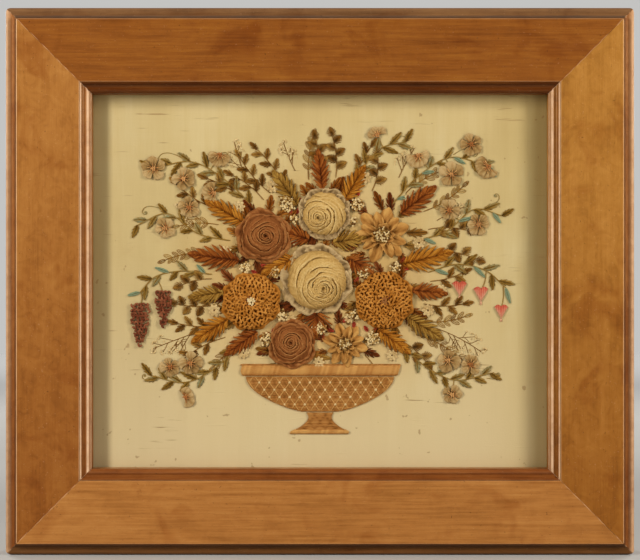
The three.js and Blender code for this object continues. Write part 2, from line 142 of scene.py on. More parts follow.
class Batch:
    """Gathers points, their shades and faces, which become one mesh."""

    def __init__(self):
        self.points, self.shades, self.faces, self.kinds, self.size = [], [], [], [], 0

    def join(self, faces, kind=0):
        """Adds faces between points that are already there."""
        self.faces += faces.tolist()
        self.kinds += [kind] * len(faces)

    def add(self, points, faces, shade):
        points = np.asarray(points, float).reshape(-1, 3)
        self.join(faces + self.size)
        self.points.append(points)
        self.shades.append(np.broadcast_to(np.asarray(shade, float).ravel(), len(points)))
        self.size += len(points)

    def grid(self, points, shade=0.5, closed=False):
        """A sheet from an array of rows by columns, whose columns may close on themselves."""
        rows, columns = points.shape[:2]
        index = np.arange(rows * columns).reshape(rows, columns)
        after = np.roll(index, -1, axis=1)
        faces = np.stack([index[:-1], after[:-1], after[1:], index[1:]], -1)
        if not closed:
            faces = faces[:, :-1]
        self.add(points, faces.reshape(-1, 4), np.broadcast_to(shade, (rows, columns)))

    def mound(self, points, shade):
        """A sheet of rings about a middle, from the inside out, with its middle closed."""
        columns = points.shape[1]
        self.grid(points[::-1], np.broadcast_to(shade, points.shape[:2])[::-1], closed=True)
        self.join(np.arange(self.size - columns, self.size)[None])

    def cloth(self, points, shade):
        """A thin closed sheet whose rows run outwards and whose columns run to the left."""
        rows, columns = points.shape[:2]
        top = np.arange(rows * columns).reshape(rows, columns)
        under = top + rows * columns

        def quads(index):
            corners = (index[:-1, :-1], index[1:, :-1], index[1:, 1:], index[:-1, 1:])
            return np.stack(corners, -1).reshape(-1, 4)

        rim = np.concatenate([top[0], top[1:, -1], top[-1, -2::-1], top[-2:0:-1, 0]])
        after = np.roll(rim, -1)
        walls = np.stack([rim, after, after + rows * columns, rim + rows * columns], -1)
        both = np.stack([points, points - [0, 0, CLOTH_THICKNESS]])
        faces = np.concatenate([quads(top), quads(under)[:, ::-1], walls])
        # The underside gets painted shade.
        self.add(both, faces, np.stack([shade, shade - 0.1]))

    def ruffle(self, top, width, standing, shade):
        """A looped strip, folded so that it stands on its edges, under a line along its fold."""
        run = np.roll(top, -1, axis=0) - np.roll(top, 1, axis=0)
        side = unit(np.cross([0.0, 0.0, 1.0], run * [1, 1, 0]))
        out = np.array([1, 1, 0.72, 0, -0.72, -1, -1])[:, None] * width / 2
        fall = np.array([0, 0.5, 0.12, 0, 0.12, 0.5, 0])[:, None] * width
        fall[[0, -1]] = standing
        points = top + out[..., None] * side - fall[..., None] * [0, 0, 1]
        # Painted shade on the strip's lower edges, and a painted highlight along its fold.
        painted_depth_shade = np.array([-0.5, -0.08, 0.12, 0.2, 0.12, -0.08, -0.5])[:, None]
        self.grid(points[::-1], (painted_depth_shade + shade)[::-1], closed=True)

    def spikes(self, bases, tips, width, shade):
        """Short hairs, each a thin closed tetrahedron."""
        side = unit(np.cross(unit(tips - bases), [0.3, 0.2, 1.0]))
        rise = np.cross(unit(tips - bases), side)
        around = ((1, 0), (-0.5, 0.87), (-0.5, -0.87))
        corners = [bases + width * (side * c + rise * s) for c, s in around]
        index = np.arange(len(bases) * 4).reshape(-1, 4)
        faces = index[:, [[0, 1, 3], [1, 2, 3], [2, 0, 3], [0, 2, 1]]].reshape(-1, 3)
        self.add(np.stack([*corners, tips], 1), faces, np.repeat(shade, 4))

    def rings(self, points, shade):
        """Closed tubes from an array of tubes by rings by points, with their ends covered."""
        start = self.size
        index = np.arange(points[..., 0].size).reshape(points.shape[:3])
        near, far = index[:, :-1], index[:, 1:]
        walls = np.stack([near, np.roll(near, -1, 2), np.roll(far, -1, 2), far], -1)
        self.add(points, walls.reshape(-1, 4), np.broadcast_to(shade, index.shape))
        self.join(np.concatenate([index[:, 0, ::-1], index[:, -1]]) + start)

    def knots(self, centres, radius, shade):
        """French knots: turned bumps with a dimple."""
        centres = np.asarray(centres, float)
        vary = 0.5 + 0.5 * noise(centres[:, 0] * 7.3, centres[:, 1] * 7.3, 11)
        out = np.array([0.85, 1.1, 0.85, 0.35, 0.1])[:, None]
        rise = np.array([-0.3, 0.35, 0.95, 1.0, 0.72])[:, None]
        turn = circle(6)[None] + vary[:, None] * 6
        size = (radius * (0.8 + 0.4 * vary))[:, None, None]
        wobble = 1 + 0.12 * np.sin(2 * turn)[:, None]
        x = centres[:, 0, None, None] + size * out * np.cos(turn)[:, None] * wobble
        y = centres[:, 1, None, None] + size * out * np.sin(turn)[:, None]
        z = centres[:, 2, None, None] + size * rise + 0 * x
        # Painted shade on the knot's base and in its dimple.
        painted_depth_shade = np.array([-0.3, -0.05, 0.1, 0, -0.25])[:, None]
        self.rings(np.stack([x, y, z], -1), np.broadcast_to(shade, len(centres))[:, None, None] + painted_depth_shade)

    def move(self, x, y, pieces=0):
        """Moves the last pieces added, or all of them."""
        self.points[-pieces:] = [p + [x, y, 0] for p in self.points[-pieces:]]

    def tubes(self, paths, radius, sides, shade, relief=0.0):
        """Threads along paths, an array of threads by points by coordinates, with closed ends.
        relief paints a highlight on the tops and paints shade on the undersides."""
        paths = np.asarray(paths, float)
        run = unit(np.gradient(paths, axis=1))
        side = unit(np.cross([0.0, 0.0, 1.0], run))
        rise = np.cross(run, side)
        turn = circle(sides, np.pi / 2)
        radius = np.broadcast_to(radius, paths.shape[:2])[:, :, None, None]
        ring = side[:, :, None] * np.cos(turn)[:, None] + rise[:, :, None] * np.sin(turn)[:, None]
        shade = np.asarray(shade, float)
        shade = shade.reshape(shade.shape + (1,) * (3 - shade.ndim))
        self.rings(paths[:, :, None] + ring * radius, shade + relief * np.sin(turn))


def stand_up(points):
    """From the picture's plane (x right, y up, z out of the silk) to the row frame."""
    return np.stack([points[:, 0], -SILK_FRONT - points[:, 2], points[:, 1]], 1)


def make_piece(name, batch, materials, slot, nodes, on_silk=True):
    points = np.concatenate(batch.points)
    if on_silk:
        points = stand_up(points)
    mesh = bpy.data.meshes.new(name)
    mesh.from_pydata((points * MM).tolist(), [], batch.faces)
    shade = mesh.attributes.new("shade", "FLOAT", "POINT")
    shade.data.foreach_set("value", np.concatenate(batch.shades).astype(np.float32))
    kinds = np.array(batch.kinds, dtype=np.int32)
    mesh.polygons.foreach_set("material_index", kinds)
    mesh.polygons.foreach_set("use_smooth", kinds == 0)
    for material in materials:
        mesh.materials.append(material)
    mesh.update()
    piece = bpy.data.objects.new(name, mesh)
    scene.collection.objects.link(piece)
    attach(piece, BODY)
    if nodes:
        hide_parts(*nodes)
    return piece


# Materials


def linear(hex_colour):
    channels = [int(hex_colour[i:i + 2], 16) / 255 for i in (0, 2, 4)]
    return [c / 12.92 if c <= 0.04045 else ((c + 0.055) / 1.055) ** 2.4 for c in channels] + [1]


class Nodes:
    """A material's node tree, with short calls for the nodes that the finishes share."""

    def __init__(self, name, **shader_values):
        self.material = bpy.data.materials.new(name)
        self.material.use_nodes = True
        self.tree = self.material.node_tree
        self.shader = self.tree.nodes["Principled BSDF"]
        for socket, value in shader_values.items():
            self.shader.inputs[socket.replace("_", " ")].default_value = value
        self.place = self.tree.nodes.new("ShaderNodeTexCoord").outputs["Object"]

    def put(self, value, socket):
        """Links a socket, or gives it a number or a hex colour, or leaves it where there is no value."""
        if isinstance(value, bpy.types.NodeSocket):
            self.tree.links.new(value, socket)
        elif value is not None:
            socket.default_value = linear(value) if isinstance(value, str) else value

    def node(self, kind, settings=None, **sockets):
        node = self.tree.nodes.new("ShaderNode" + kind)
        for name, value in (settings or {}).items():
            setattr(node, name, value)
        for name, value in sockets.items():
            self.put(value, node.inputs[name.replace("_", " ")])
        return node

    def noise(self, x, y=None, z=None, detail=3.0, distortion=0.0, roughness=0.55):
        """Noise with so many cells to a metre along x, y and z, or along all three as along x."""
        place = self.scaled(x, y or x, z or x)
        settings = {"Scale": 1, "Detail": detail, "Roughness": roughness, "Distortion": distortion}
        return self.node("TexNoise", Vector=place, **settings).outputs["Fac"]

    def grain(self, along_x, along, across, **settings):
        """Noise drawn out along the grain."""
        axes = (along, across, across) if along_x else (across, across, along)
        return self.noise(*axes, **settings)

    def scaled(self, x, y, z):
        node = self.node("VectorMath", {"operation": "MULTIPLY"}, Vector=self.place)
        node.inputs[1].default_value = (x, y, z)
        return node.outputs[0]

    def length(self, vector):
        return self.node("VectorMath", {"operation": "LENGTH"}, Vector=vector).outputs["Value"]

    def axis(self, name):
        """How far along one axis a point lies."""
        return self.node("SeparateXYZ", Vector=self.place).outputs[name]

    def attribute(self, name):
        return self.node("Attribute", {"attribute_name": name}).outputs["Fac"]

    def math(self, operation, first, second=0.0, third=None):
        node = self.node("Math", {"operation": operation})
        for value, socket in zip((first, second, third), node.inputs):
            self.put(value, socket)
        return node.outputs[0]

    def times(self, value, factor, plus=None):
        return self.math("MULTIPLY" if plus is None else "MULTIPLY_ADD", value, factor, plus)

    def between(self, value, low, high, to_low=0.0, to_high=1.0):
        """Maps low..high to another range, smoothly and clamped."""
        ends = {"From_Min": low, "From_Max": high, "To_Min": to_low, "To_Max": to_high}
        node = self.node("MapRange", {"interpolation_type": "SMOOTHSTEP"}, Value=value, **ends)
        return node.outputs["Result"]

    def ramp(self, value, *stops):
        """Colours at their places, given as (place, hex colour)."""
        node = self.node("ValToRGB", Fac=value)
        elements = node.color_ramp.elements
        while len(elements) < len(stops):
            elements.new(0.5)
        for element, (place, colour) in zip(elements, stops):
            element.position = place
            element.color = linear(colour)
        return node.outputs["Color"]

    def mix(self, share, first, second, blend="MIX"):
        node = self.node("Mix", {"data_type": "RGBA", "blend_type": blend}, Factor=share)
        for value, socket in zip((first, second), [s for s in node.inputs if s.type == "RGBA"]):
            self.put(value, socket)
        return next(s for s in node.outputs if s.type == "RGBA")

    def tint(self, colour, mask, share, other, blend="MIX"):
        """A colour mixed with another by a share of a mask."""
        return self.mix(self.times(mask, share), colour, other, blend)

    def finish(self, colour, roughness=None, height=None, depth=0.0):
        """Links the shader's colour, roughness and bump, whose depth is in millimetres."""
        self.put(colour, self.shader.inputs["Base Color"])
        self.put(roughness, self.shader.inputs["Roughness"])
        if height is not None:
            bump = self.node("Bump", Distance=depth * MM, Strength=1.0, Height=height)
            self.put(bump.outputs["Normal"], self.shader.inputs["Normal"])
        return self.material


WARM = linear("f2c884")


def wood_material(name, along_x, dark, middle, light, worn_and_highlight, shine, coat, fibre_share, grime_and_painted_light):
    """Polished wood with its grain along one axis, light where its edges are worn and where highlights are
    painted, dark where it is grimy and where shade is painted.
    """
    make = Nodes(name, Coat_Weight=coat, Coat_Roughness=0.3, Specular_IOR_Level=0.25, Specular_Tint=WARM)
    figure = make.grain(along_x, 9, 34, distortion=1.2)
    fibre = make.grain(along_x, 14, 420, detail=4, roughness=0.65)
    fine = make.grain(along_x, 60, 1900, detail=2)
    curl = make.noise(75, detail=4, distortion=1.6, roughness=0.6)
    tone = make.times(fibre, fibre_share, make.times(figure, 0.4))
    tone = make.times(curl, 0.62 - fibre_share, make.math("SUBTRACT", tone, 0.09))
    colour = make.ramp(make.times(fine, 0.16, tone), (0.24, dark), (0.5, middle), (0.78, light))
    # Painted shade: the side rails darker towards the bottom.
    if not along_x:
        low = make.between(make.times(figure, 0.1, make.axis("Z")), 0.24, -0.2)
        colour = make.mix(low, colour, "dfcbb0", "MULTIPLY")
    mottle = make.between(make.noise(26, distortion=0.8), 0.5, 0.74)
    colour = make.tint(colour, mottle, 0.55, "cfae88", "MULTIPLY")
    pores = make.between(make.grain(along_x, 210, 2600, detail=1), 0.69, 0.75)
    colour = make.tint(colour, pores, 0.45, dark)
    nicks = make.between(make.noise(560, detail=1, distortion=0.6), 0.735, 0.77)
    colour = make.tint(colour, nicks, 0.6, "2a1508")
    specks = make.between(make.noise(700, detail=1), 0.7, 0.76)
    colour = make.tint(colour, specks, 0.12 if along_x else 0.2, worn_and_highlight)
    shade = make.attribute("shade")
    rubbed = make.between(make.noise(150, detail=4, roughness=0.7), 0.32, 0.6, 0.72, 1.0)
    # The shade attribute mixes in the worn colour for wear and painted highlights, and below zero the grime
    # colour for grime, dark joints and painted shade.
    colour = make.mix(make.times(shade, rubbed), colour, worn_and_highlight)
    colour = make.tint(colour, make.between(shade, 0.0, -0.6), 0.75, grime_and_painted_light)
    roughness = make.between(make.noise(70), 0.25, 0.75, shine - 0.07, shine + 0.11)
    return make.finish(colour, roughness, make.math("SUBTRACT", fibre, pores), 0.06)


def pine_material(name, along_x):
    """Bare aged softwood with wide growth lines and a few stains."""
    make = Nodes(name, Roughness=0.85, Specular_IOR_Level=0.25)
    growth = make.grain(along_x, 3, 110, detail=2, distortion=0.8)
    fibre = make.grain(along_x, 40, 1500)
    colour = make.ramp(growth, (0.3, "8f6a42"), (0.48, "b08a5c"), (0.62, "a37d50"), (0.8, "c09c6e"))
    colour = make.tint(colour, fibre, 0.3, "6f4f2f")
    colour = make.tint(colour, make.between(make.noise(14, detail=4), 0.5, 0.72), 0.4, "5d4026")
    return make.finish(colour, height=fibre, depth=0.12)


def silk_material():
    """Plain-weave silk: fine warp streaks, thin dark slubs, foxing spots and soft stains, with painted shade
    along its side edges.
    """
    make = Nodes("silk_weave", Specular_IOR_Level=0.3, Sheen_Weight=0.15, Sheen_Roughness=0.4)
    x, z = make.axis("X"), make.axis("Z")
    warp = make.noise(62, 62, 3.5, detail=5, roughness=0.78)
    weft = make.noise(8, 1700, 1700, detail=2)
    cloud = make.noise(9)
    tone = make.times(warp, 0.3, make.times(cloud, 0.45, 0.11))
    colour = make.ramp(make.times(weft, 0.05, tone), (0.34, "bca168"), (0.52, "c9b077"), (0.7, "d4c08e"))
    lower = make.between(make.times(cloud, 0.12, z), 0.1, -0.15, 0.0, 0.7)
    colour = make.mix(lower, colour, "dcc699")
    around_flowers = make.length(make.scaled(7.2, 0, 8.6))
    colour = make.mix(
        make.between(make.times(cloud, 0.35, around_flowers), 1.3, 0.5), colour, "f8e6cc", "MULTIPLY"
    )
    # Painted shadow of the lip on the silk along the left and right sight edges, deeper on the right.
    edge = make.times(cloud, 0.006, make.math("ABSOLUTE", x))
    painted_lip_shadow = make.between(edge, SIGHT_HALF_WIDTH * MM - 0.014, SIGHT_HALF_WIDTH * MM - 0.004)
    colour = make.tint(colour, painted_lip_shadow, make.between(x, -0.1, 0.1, 0.5, 0.9), "d6d0c0", "MULTIPLY")
    # Painted shade: the silk darker towards the right side, and a little towards the left.
    colour = make.mix(make.between(x, 0.13, 0.2), colour, "f2f0e6", "MULTIPLY")
    colour = make.mix(make.between(x, -0.1, -0.17), colour, "f8f8f8", "MULTIPLY")
    slub = make.between(make.noise(26, 400, 400, detail=2), 0.66, 0.76)
    rare = make.between(make.noise(11, 11, 24, detail=1), 0.52, 0.6)
    often = make.math("MAXIMUM", rare, make.between(z, 0.135, 0.152))
    colour = make.tint(colour, make.times(slub, often), 0.75, "8a6636")
    colour = make.tint(colour, make.between(make.noise(120, detail=2), 0.715, 0.745), 0.55, "8e6a3a")
    stains = make.between(make.noise(17, detail=5, distortion=0.7), 0.6, 0.78)
    colour = make.tint(colour, stains, 0.32, "a98450")
    weave = make.math("ADD", make.noise(2400, 2400, 300, detail=1), make.noise(300, 2400, 2400, detail=1))
    return make.finish(colour, make.between(warp, 0.3, 0.7, 0.5, 0.66), make.times(slub, 1.5, weave), 0.07)


def thread_material(name, dark, middle, light, shine, sheen, fuzz, grain=2600):
    """Thread or crepe. The shade attribute picks its colour, which fades in soft patches."""
    warm = {"Specular_Tint": WARM, "Sheen_Tint": WARM}
    make = Nodes(name, Specular_IOR_Level=0.12, Sheen_Weight=sheen, Sheen_Roughness=0.45, **warm)
    fine = make.noise(grain, detail=2)
    tone = make.times(make.noise(60), 0.34, make.math("SUBTRACT", make.attribute("shade"), 0.26))
    colour = make.ramp(make.times(fine, 0.2, tone), (0.12, dark), (0.5, middle), (0.88, light))
    return make.finish(colour, make.between(fine, 0.2, 0.8, shine, shine + 0.2), fine, fuzz)


def gauze_material(name, dark, middle, light, alpha):
    """Sheer gauze with a fine crossed mesh."""
    sheen = {"Sheen_Weight": 0.1, "Sheen_Roughness": 0.4}
    make = Nodes(name, Alpha=alpha, Specular_IOR_Level=0.12, Specular_Tint=WARM, **sheen)
    mesh = make.math("ADD", make.noise(3200, 3200, 200, detail=1), make.noise(200, 3200, 3200, detail=1))
    tone = make.times(make.noise(50), 0.35, make.math("SUBTRACT", make.attribute("shade"), 0.3))
    colour = make.ramp(make.times(mesh, 0.12, tone), (0.15, dark), (0.5, middle), (0.85, light))
    return make.finish(colour, make.between(mesh, 0.6, 1.4, 0.6, 0.78), mesh, 0.08)


# The frame's mouldings

SIDES = {"top": 0, "right": math.pi / 2, "bottom": math.pi, "left": -math.pi / 2}
STEP_ALONG = 7
MITRE_CRACK = 0.012
# How far from a mitre its closer rows of points lie
MITRE_ROWS = (0, 0.35, 0.8, 1.6, 2.6, 3.8)
CORNER_ROUND = 4.5
# The kind of face that shows bare pine
BARE = 1


def on_arc(centre, radii, degrees):
    turn = np.radians(degrees)
    return centre[0] + radii[0] * math.cos(turn), centre[1] + radii[1] * math.sin(turn)


def arc(centre, radii, start, end, count):
    return [on_arc(centre, radii, degrees) for degrees in np.linspace(start, end, count)]


def straight(start, end, count):
    return [tuple(p) for p in np.linspace(start, end, count + 1)[:-1]]


def with_wear_grime_and_painted_light(points, wear_grime_and_painted_light=0.0):
    """A section's points with how worn they are, partly a painted highlight, or below zero how grimy, partly
    a painted shade.
    """
    return [(point, wear_grime_and_painted_light) for point in points]


def face_section():
    """The sloping face, its rounded arrises, and the rebate behind the sight edge."""
    left, right = EDGE_WIDTH + GAP, RAIL_WIDTH - LIP_WIDTH - GAP
    rebate = RAIL_WIDTH - REBATE_WIDTH
    seat = SILK_FRONT + GAP
    slope = math.degrees(math.atan2(FACE_OUTER - FACE_INNER, right - left))
    inner, outer = (right - 2.2, FACE_INNER + 0.22), (left + 2.2, FACE_OUTER - 0.22)
    return [
        *with_wear_grime_and_painted_light([(left, 0), (rebate, 0), (rebate, seat), (RAIL_WIDTH, seat)]),
        *with_wear_grime_and_painted_light([(RAIL_WIDTH, LIP_SEAT - GAP), (right, LIP_SEAT - GAP)]),
        # The rounded arrises are lightened: wear, with a painted highlight.
        *with_wear_grime_and_painted_light(arc((right - 0.5, FACE_INNER - 0.5), (0.5, 0.5), 0, 90 - slope, 4), 1.0),
        *with_wear_grime_and_painted_light([(right - 1, FACE_INNER + 0.08), *straight(inner, outer, 16), outer]),
        *with_wear_grime_and_painted_light([(left + 1.15, FACE_OUTER - 0.12)]),
        *with_wear_grime_and_painted_light(arc((left + 0.6, FACE_OUTER - 0.65), (0.6, 0.6), 90 - slope, 180, 5), 1.0),
    ]


def edge_section():
    """The bead on the outer corner and the cove that rises to the face."""
    bead = 2 * EDGE_BEAD_RADIUS
    cove = EDGE_WIDTH - bead
    height = EDGE_TOP - cove
    points = with_wear_grime_and_painted_light([(0.7, 0), (EDGE_WIDTH, 0), (EDGE_WIDTH, EDGE_TOP - 0.5)])
    points += with_wear_grime_and_painted_light(arc((EDGE_WIDTH - 0.35, EDGE_TOP - 0.4), (0.35, 0.4), 20, 150, 3), -0.3)
    # The cove darkens towards the face: grime, with painted shade in the hollow.
    for degrees in range(0, -68, -8):
        grime_and_shade = -0.55 * math.cos(math.radians(degrees)) ** 2
        points.append((on_arc((bead, EDGE_TOP - 0.3), (cove - 0.6, cove - 0.3), degrees), grime_and_shade))
    # The bead and its inner slope are lightened: wear, with a painted highlight.
    points += zip(straight((bead + 1.3, height + 0.85), (bead - 0.55, height + 1.45), 3), (0.25, 0.4, 0.6))
    for degrees in range(55, 181, 14):
        wear_grime_and_painted_light = (0.75 + 0.35 * math.sin(math.radians(degrees))) * smooth((200 - degrees) / 30)
        points.append((on_arc((EDGE_BEAD_RADIUS, height), (EDGE_BEAD_RADIUS,) * 2, degrees), wear_grime_and_painted_light))
    return points + with_wear_grime_and_painted_light(straight((0, height - 1.5), (0, 0.7), 5), 0.1) + [((0, 0.7), 0.5)]


def lip_section():
    """The cove, the bead and the fillet at the sight edge."""
    outer = RAIL_WIDTH - LIP_WIDTH
    centre = RAIL_WIDTH - LIP_FILLET - LIP_BEAD_RADIUS
    cove = centre - LIP_BEAD_RADIUS
    points = with_wear_grime_and_painted_light([(outer, LIP_SEAT), (RAIL_WIDTH, LIP_SEAT)])
    # Painted shade darkens the wall of the sight edge.
    sight_edge = straight((RAIL_WIDTH, LIP_SEAT + 0.5), (RAIL_WIDTH, LIP_SHOULDER - 0.25), 3)
    points += with_wear_grime_and_painted_light(sight_edge, -0.2)
    # The fillet and the bead are lightened: wear, with a painted highlight on the bead's crest.
    points += with_wear_grime_and_painted_light([(RAIL_WIDTH - 0.08, LIP_SHOULDER - 0.05), (RAIL_WIDTH - 0.5, LIP_SHOULDER)], 1.2)
    points += with_wear_grime_and_painted_light([(RAIL_WIDTH - LIP_FILLET + 0.1, LIP_SHOULDER)])
    for degrees in range(8, 142, 12):
        wear_grime_and_painted_light = 1.25 * math.sin(math.radians(degrees)) ** 4
        points.append((on_arc((centre, LIP_SHOULDER), (LIP_BEAD_RADIUS,) * 2, degrees), wear_grime_and_painted_light))
    points += with_wear_grime_and_painted_light([(cove + 0.25, LIP_SHOULDER + 1.0)], 0.1)
    # The cove is darkened: grime, with painted shade in the hollow.
    hollow = (cove - outer - 1.2, LIP_TOP - LIP_SHOULDER - 0.95)
    points += with_wear_grime_and_painted_light(arc((cove, LIP_TOP), hollow, -98, -166, 8), -0.2)
    # The arris at the lip's top is lightened: wear, with a painted highlight.
    crest = zip((1.1, 0.6, 0.1), (0.1, 0, 0.2), (0.9, 1.3, 1.2))
    return points + [((outer + dx, LIP_TOP - drop), wear_grime_and_painted_light) for dx, drop, wear_grime_and_painted_light in crest]


def rounded_corner(along, up, length, reach):
    """Draws points near the frame's outer corners in to a small round."""
    past, over = np.abs(along) - (length - CORNER_ROUND), up - (reach - CORNER_ROUND)
    out = np.hypot(past, over)
    scale = np.where((past > 0) & (over > 0) & (out > CORNER_ROUND), CORNER_ROUND / np.maximum(out, 1e-6), 1)
    along = np.where(scale < 1, np.sign(along) * (length - CORNER_ROUND + past * scale), along)
    return along, np.where(scale < 1, reach - CORNER_ROUND + over * scale, up)


def moulding(kind, side, section, materials, slot, seed, worn_and_highlight):
    """One mitred length. Its worn edges dip unevenly, and its mitres are rubbed."""
    outline = np.array([p for p, _ in section], float)
    wear_grime_and_painted_light = np.array([w for _, w in section])
    wear_grime_and_painted_light = np.where(wear_grime_and_painted_light > 0, wear_grime_and_painted_light * worn_and_highlight, wear_grime_and_painted_light)
    length, reach = (HALF_WIDTH, HALF_HEIGHT) if side in ("top", "bottom") else (HALF_HEIGHT, HALF_WIDTH)
    share = np.linspace(-1, 1, round(2 * length / STEP_ALONG))[1:-1]
    ends = 1 - np.array(MITRE_ROWS) / length
    share = np.concatenate([-ends, share, ends[::-1]])
    along = share[:, None] * (length - outline[:, 0] - MITRE_CRACK)
    uneven = noise(along / 9, seed + outline[:, 0][None] * 0.05, seed)
    nick = np.maximum(noise(along / 3.1, seed, 3) - 0.62, 0)
    dip = 0.16 * np.maximum(wear_grime_and_painted_light, 0) * (1 + uneven) + 0.35 * np.maximum(wear_grime_and_painted_light, 0) * nick
    front = (outline[:, 1] > LIP_SEAT)[None]
    chips = noise(outline[:, 0] / 1.9, seed, 5)[None]
    cracked = (np.abs(share) > 1 - 1e-9)[:, None] & front
    beside = (np.abs(share) > ends[1] - 1e-9)[:, None] & front & ~cracked
    height = outline[:, 1][None] - dip - np.where(cracked, 0.12 + 0.06 * chips, 0)
    along, up = rounded_corner(along, reach - outline[:, 0] + 0 * along, length, reach)
    cos, sin = math.cos(SIDES[side]), math.sin(SIDES[side])
    points = np.stack([along * cos + up * sin, -height, up * cos - along * sin], -1)
    shade = np.broadcast_to(wear_grime_and_painted_light, along.shape) * (0.85 + 0.15 * uneven)
    rubbed = smooth(chips * 2 + 0.55)
    shade = np.where(cracked, 1.25 * rubbed - 0.75, np.where(beside, np.maximum(shade, 0.55 * rubbed), shade))

    rows, columns = along.shape
    index = np.arange(rows * columns).reshape(rows, columns)
    after = np.roll(index, -1, axis=1)
    faces = np.stack([index[:-1], index[1:], after[1:], after[:-1]], -1)
    step = np.roll(outline, -1, axis=0) - outline
    middle = outline + step / 2
    bare = (-step[:, 0] < -0.5 * np.abs(step).sum(1)) & (middle[:, 1] < LIP_SEAT)
    bare |= (step[:, 1] > 0.5 * np.abs(step).sum(1)) & (middle[:, 1] < SILK_FRONT + GAP)
    batch = Batch()
    batch.add(points, faces[:, ~bare].reshape(-1, 4), shade)
    batch.join(faces[:, bare].reshape(-1, 4), BARE)
    batch.join(np.stack([index[0], index[-1, ::-1]]), BARE)
    make_piece(f"{kind}_{side}_wood", batch, materials, slot, [f"{kind}_{side}"], on_silk=False)


# dark, middle and light, then how worn the side's edges are. The tones carry painted shade, the top darkest
# and the bottom and sides lighter, and the worn share also sets the painted highlight on the edges, most on
# the sides that face the lights.
FACE_TONES = {
    "top": ("602e0a", "8a4e19", "a36623", 0.25),
    "right": ("804e1a", "ac732f", "c68c44", 0.6),
    "bottom": ("7f4a1a", "ad7035", "c58a49", 0.15),
    "left": ("7a4618", "a76c30", "bf8544", 0.75),
}
# The same for the outer edges: painted shade makes the bottom darkest, and painted highlights fall on the
# sides.
EDGE_TONES = {
    "top": ("50321a", "7a5230", "94693e", 0.06),
    "right": ("754018", "a0622e", "c08448", 0.74),
    "bottom": ("3e230f", "623c1c", "784c26", 0.0),
    "left": ("754018", "a0622e", "c08448", 0.7),
}
# The same for the lips: painted shade makes the top darkest, and painted highlights fall on the sides.
LIP_TONES = {
    "top": ("361602", "582a0a", "724014", 0.0),
    "right": ("6e3a0e", "a06424", "c28638", 0.8),
    "bottom": ("5c2c0c", "884a1c", "a4662e", 0.03),
    "left": ("6e3a10", "9e602a", "c0823e", 0.84),
}
# Colour for grime, dark joints and painted shade on the mouldings
GRIME_AND_PAINTED_SHADE = "2c160a"
# Grime and painted shade in the edges' coves, and on the top edge a grey painted reflection
EDGE_GRIME_AND_PAINTED_LIGHT = {"top": "3a4648", "right": "34241e", "bottom": "5a4236", "left": "2e1c12"}


def make_frame():
    # kind, section, tones, slot, colour where it is worn or has a painted highlight, roughness and coat
    kinds = (
        ("rail", face_section(), FACE_TONES, "face_veneer", "e2b488", 0.4, 0.18),
        ("edge", edge_section(), EDGE_TONES, "edge_moulding", "e2b488", 0.36, 0.16),
        ("lip", lip_section(), LIP_TONES, "lip_moulding", "ecc49c", 0.34, 0.2),
    )
    for number, side in enumerate(SIDES):
        along_x = side in ("top", "bottom")
        fibre_share = 0.5 if along_x else 0.22
        pine = pine_material(f"bare_pine_{side}", along_x)
        for kind, section, tones, slot, *finish in kinds:
            *tone, worn_and_highlight = tones[side]
            grime_and_painted_light = EDGE_GRIME_AND_PAINTED_LIGHT[side] if kind == "edge" else GRIME_AND_PAINTED_SHADE
            wood = wood_material(f"{kind}_{side}", along_x, *tone, *finish, fibre_share, grime_and_painted_light)
            moulding(kind, side, section, [wood, pine], slot, number + 10 * len(kind), worn_and_highlight)


def make_panel():
    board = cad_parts["panel"]
    board.data.materials.clear()
    board.data.materials.append(pine_material("panel_pine", True))
    bevel = board.modifiers.new("eased_edges", "BEVEL")
    bevel.width = 0.8 * MM
    bevel.segments = 2


make_frame()
make_panel()


# The silk ground

SILK_PITCH = 4.5
PUCKER_WIDTH, PUCKER_HEIGHT = 130, 110


def make_silk():
    low, high = span("silk_ground")
    x, y = (np.linspace(low[k], high[k], round((high[k] - low[k]) / SILK_PITCH) + 1) for k in (0, 2))
    x, y = np.meshgrid(x, y)
    near = np.exp(-((x / PUCKER_WIDTH) ** 2 + (y / PUCKER_HEIGHT) ** 2))
    pucker = 0.1 * noise(x / 24, y / 60, 1) + 0.12 * near * noise(x / 8, y / 8, 2)
    batch = Batch()
    batch.grid(np.stack([x, y, np.minimum(pucker, 0.08) - 0.06], -1))
    batch.grid(np.stack([x, y, np.full_like(x, SILK_BACK - SILK_FRONT)], -1)[:, ::-1])
    top = np.arange(x.size).reshape(x.shape)
    under = top[:, ::-1] + x.size
    for turns in (0, 2, 3, 1):
        a, b = (np.rot90(side, turns)[0] for side in (top, under))
        batch.join(np.stack([b[:-1], b[1:], a[1:], a[:-1]], -1))
    cloth = make_piece("silk_cloth", batch, [silk_material()], "silk_ground_cloth", ["silk_ground"])


make_silk()


# Needlework: places, the same as the solids'

# x, y, radius, height, turn in degrees
ROSES = {"rose_centre": (-3, 1, 31, 11, -52), "rose_top": (4, 60, 23, 8.5, 215)}
CARNATIONS = {"carnation_left": (-61, -18, 27, 9, 20), "carnation_right": (57, -17, 27, 9, 205)}
SPIRALS = {"spiral_upper_left": (-50, 40, 25, 9, 0), "spiral_lower_left": (-25, -56, 22, 8, 130)}
STARS = {"star_upper_right": (55, 41, 26, 7.5, 10), "star_lower_right": (22, -56, 20.5, 6.5, -12)}

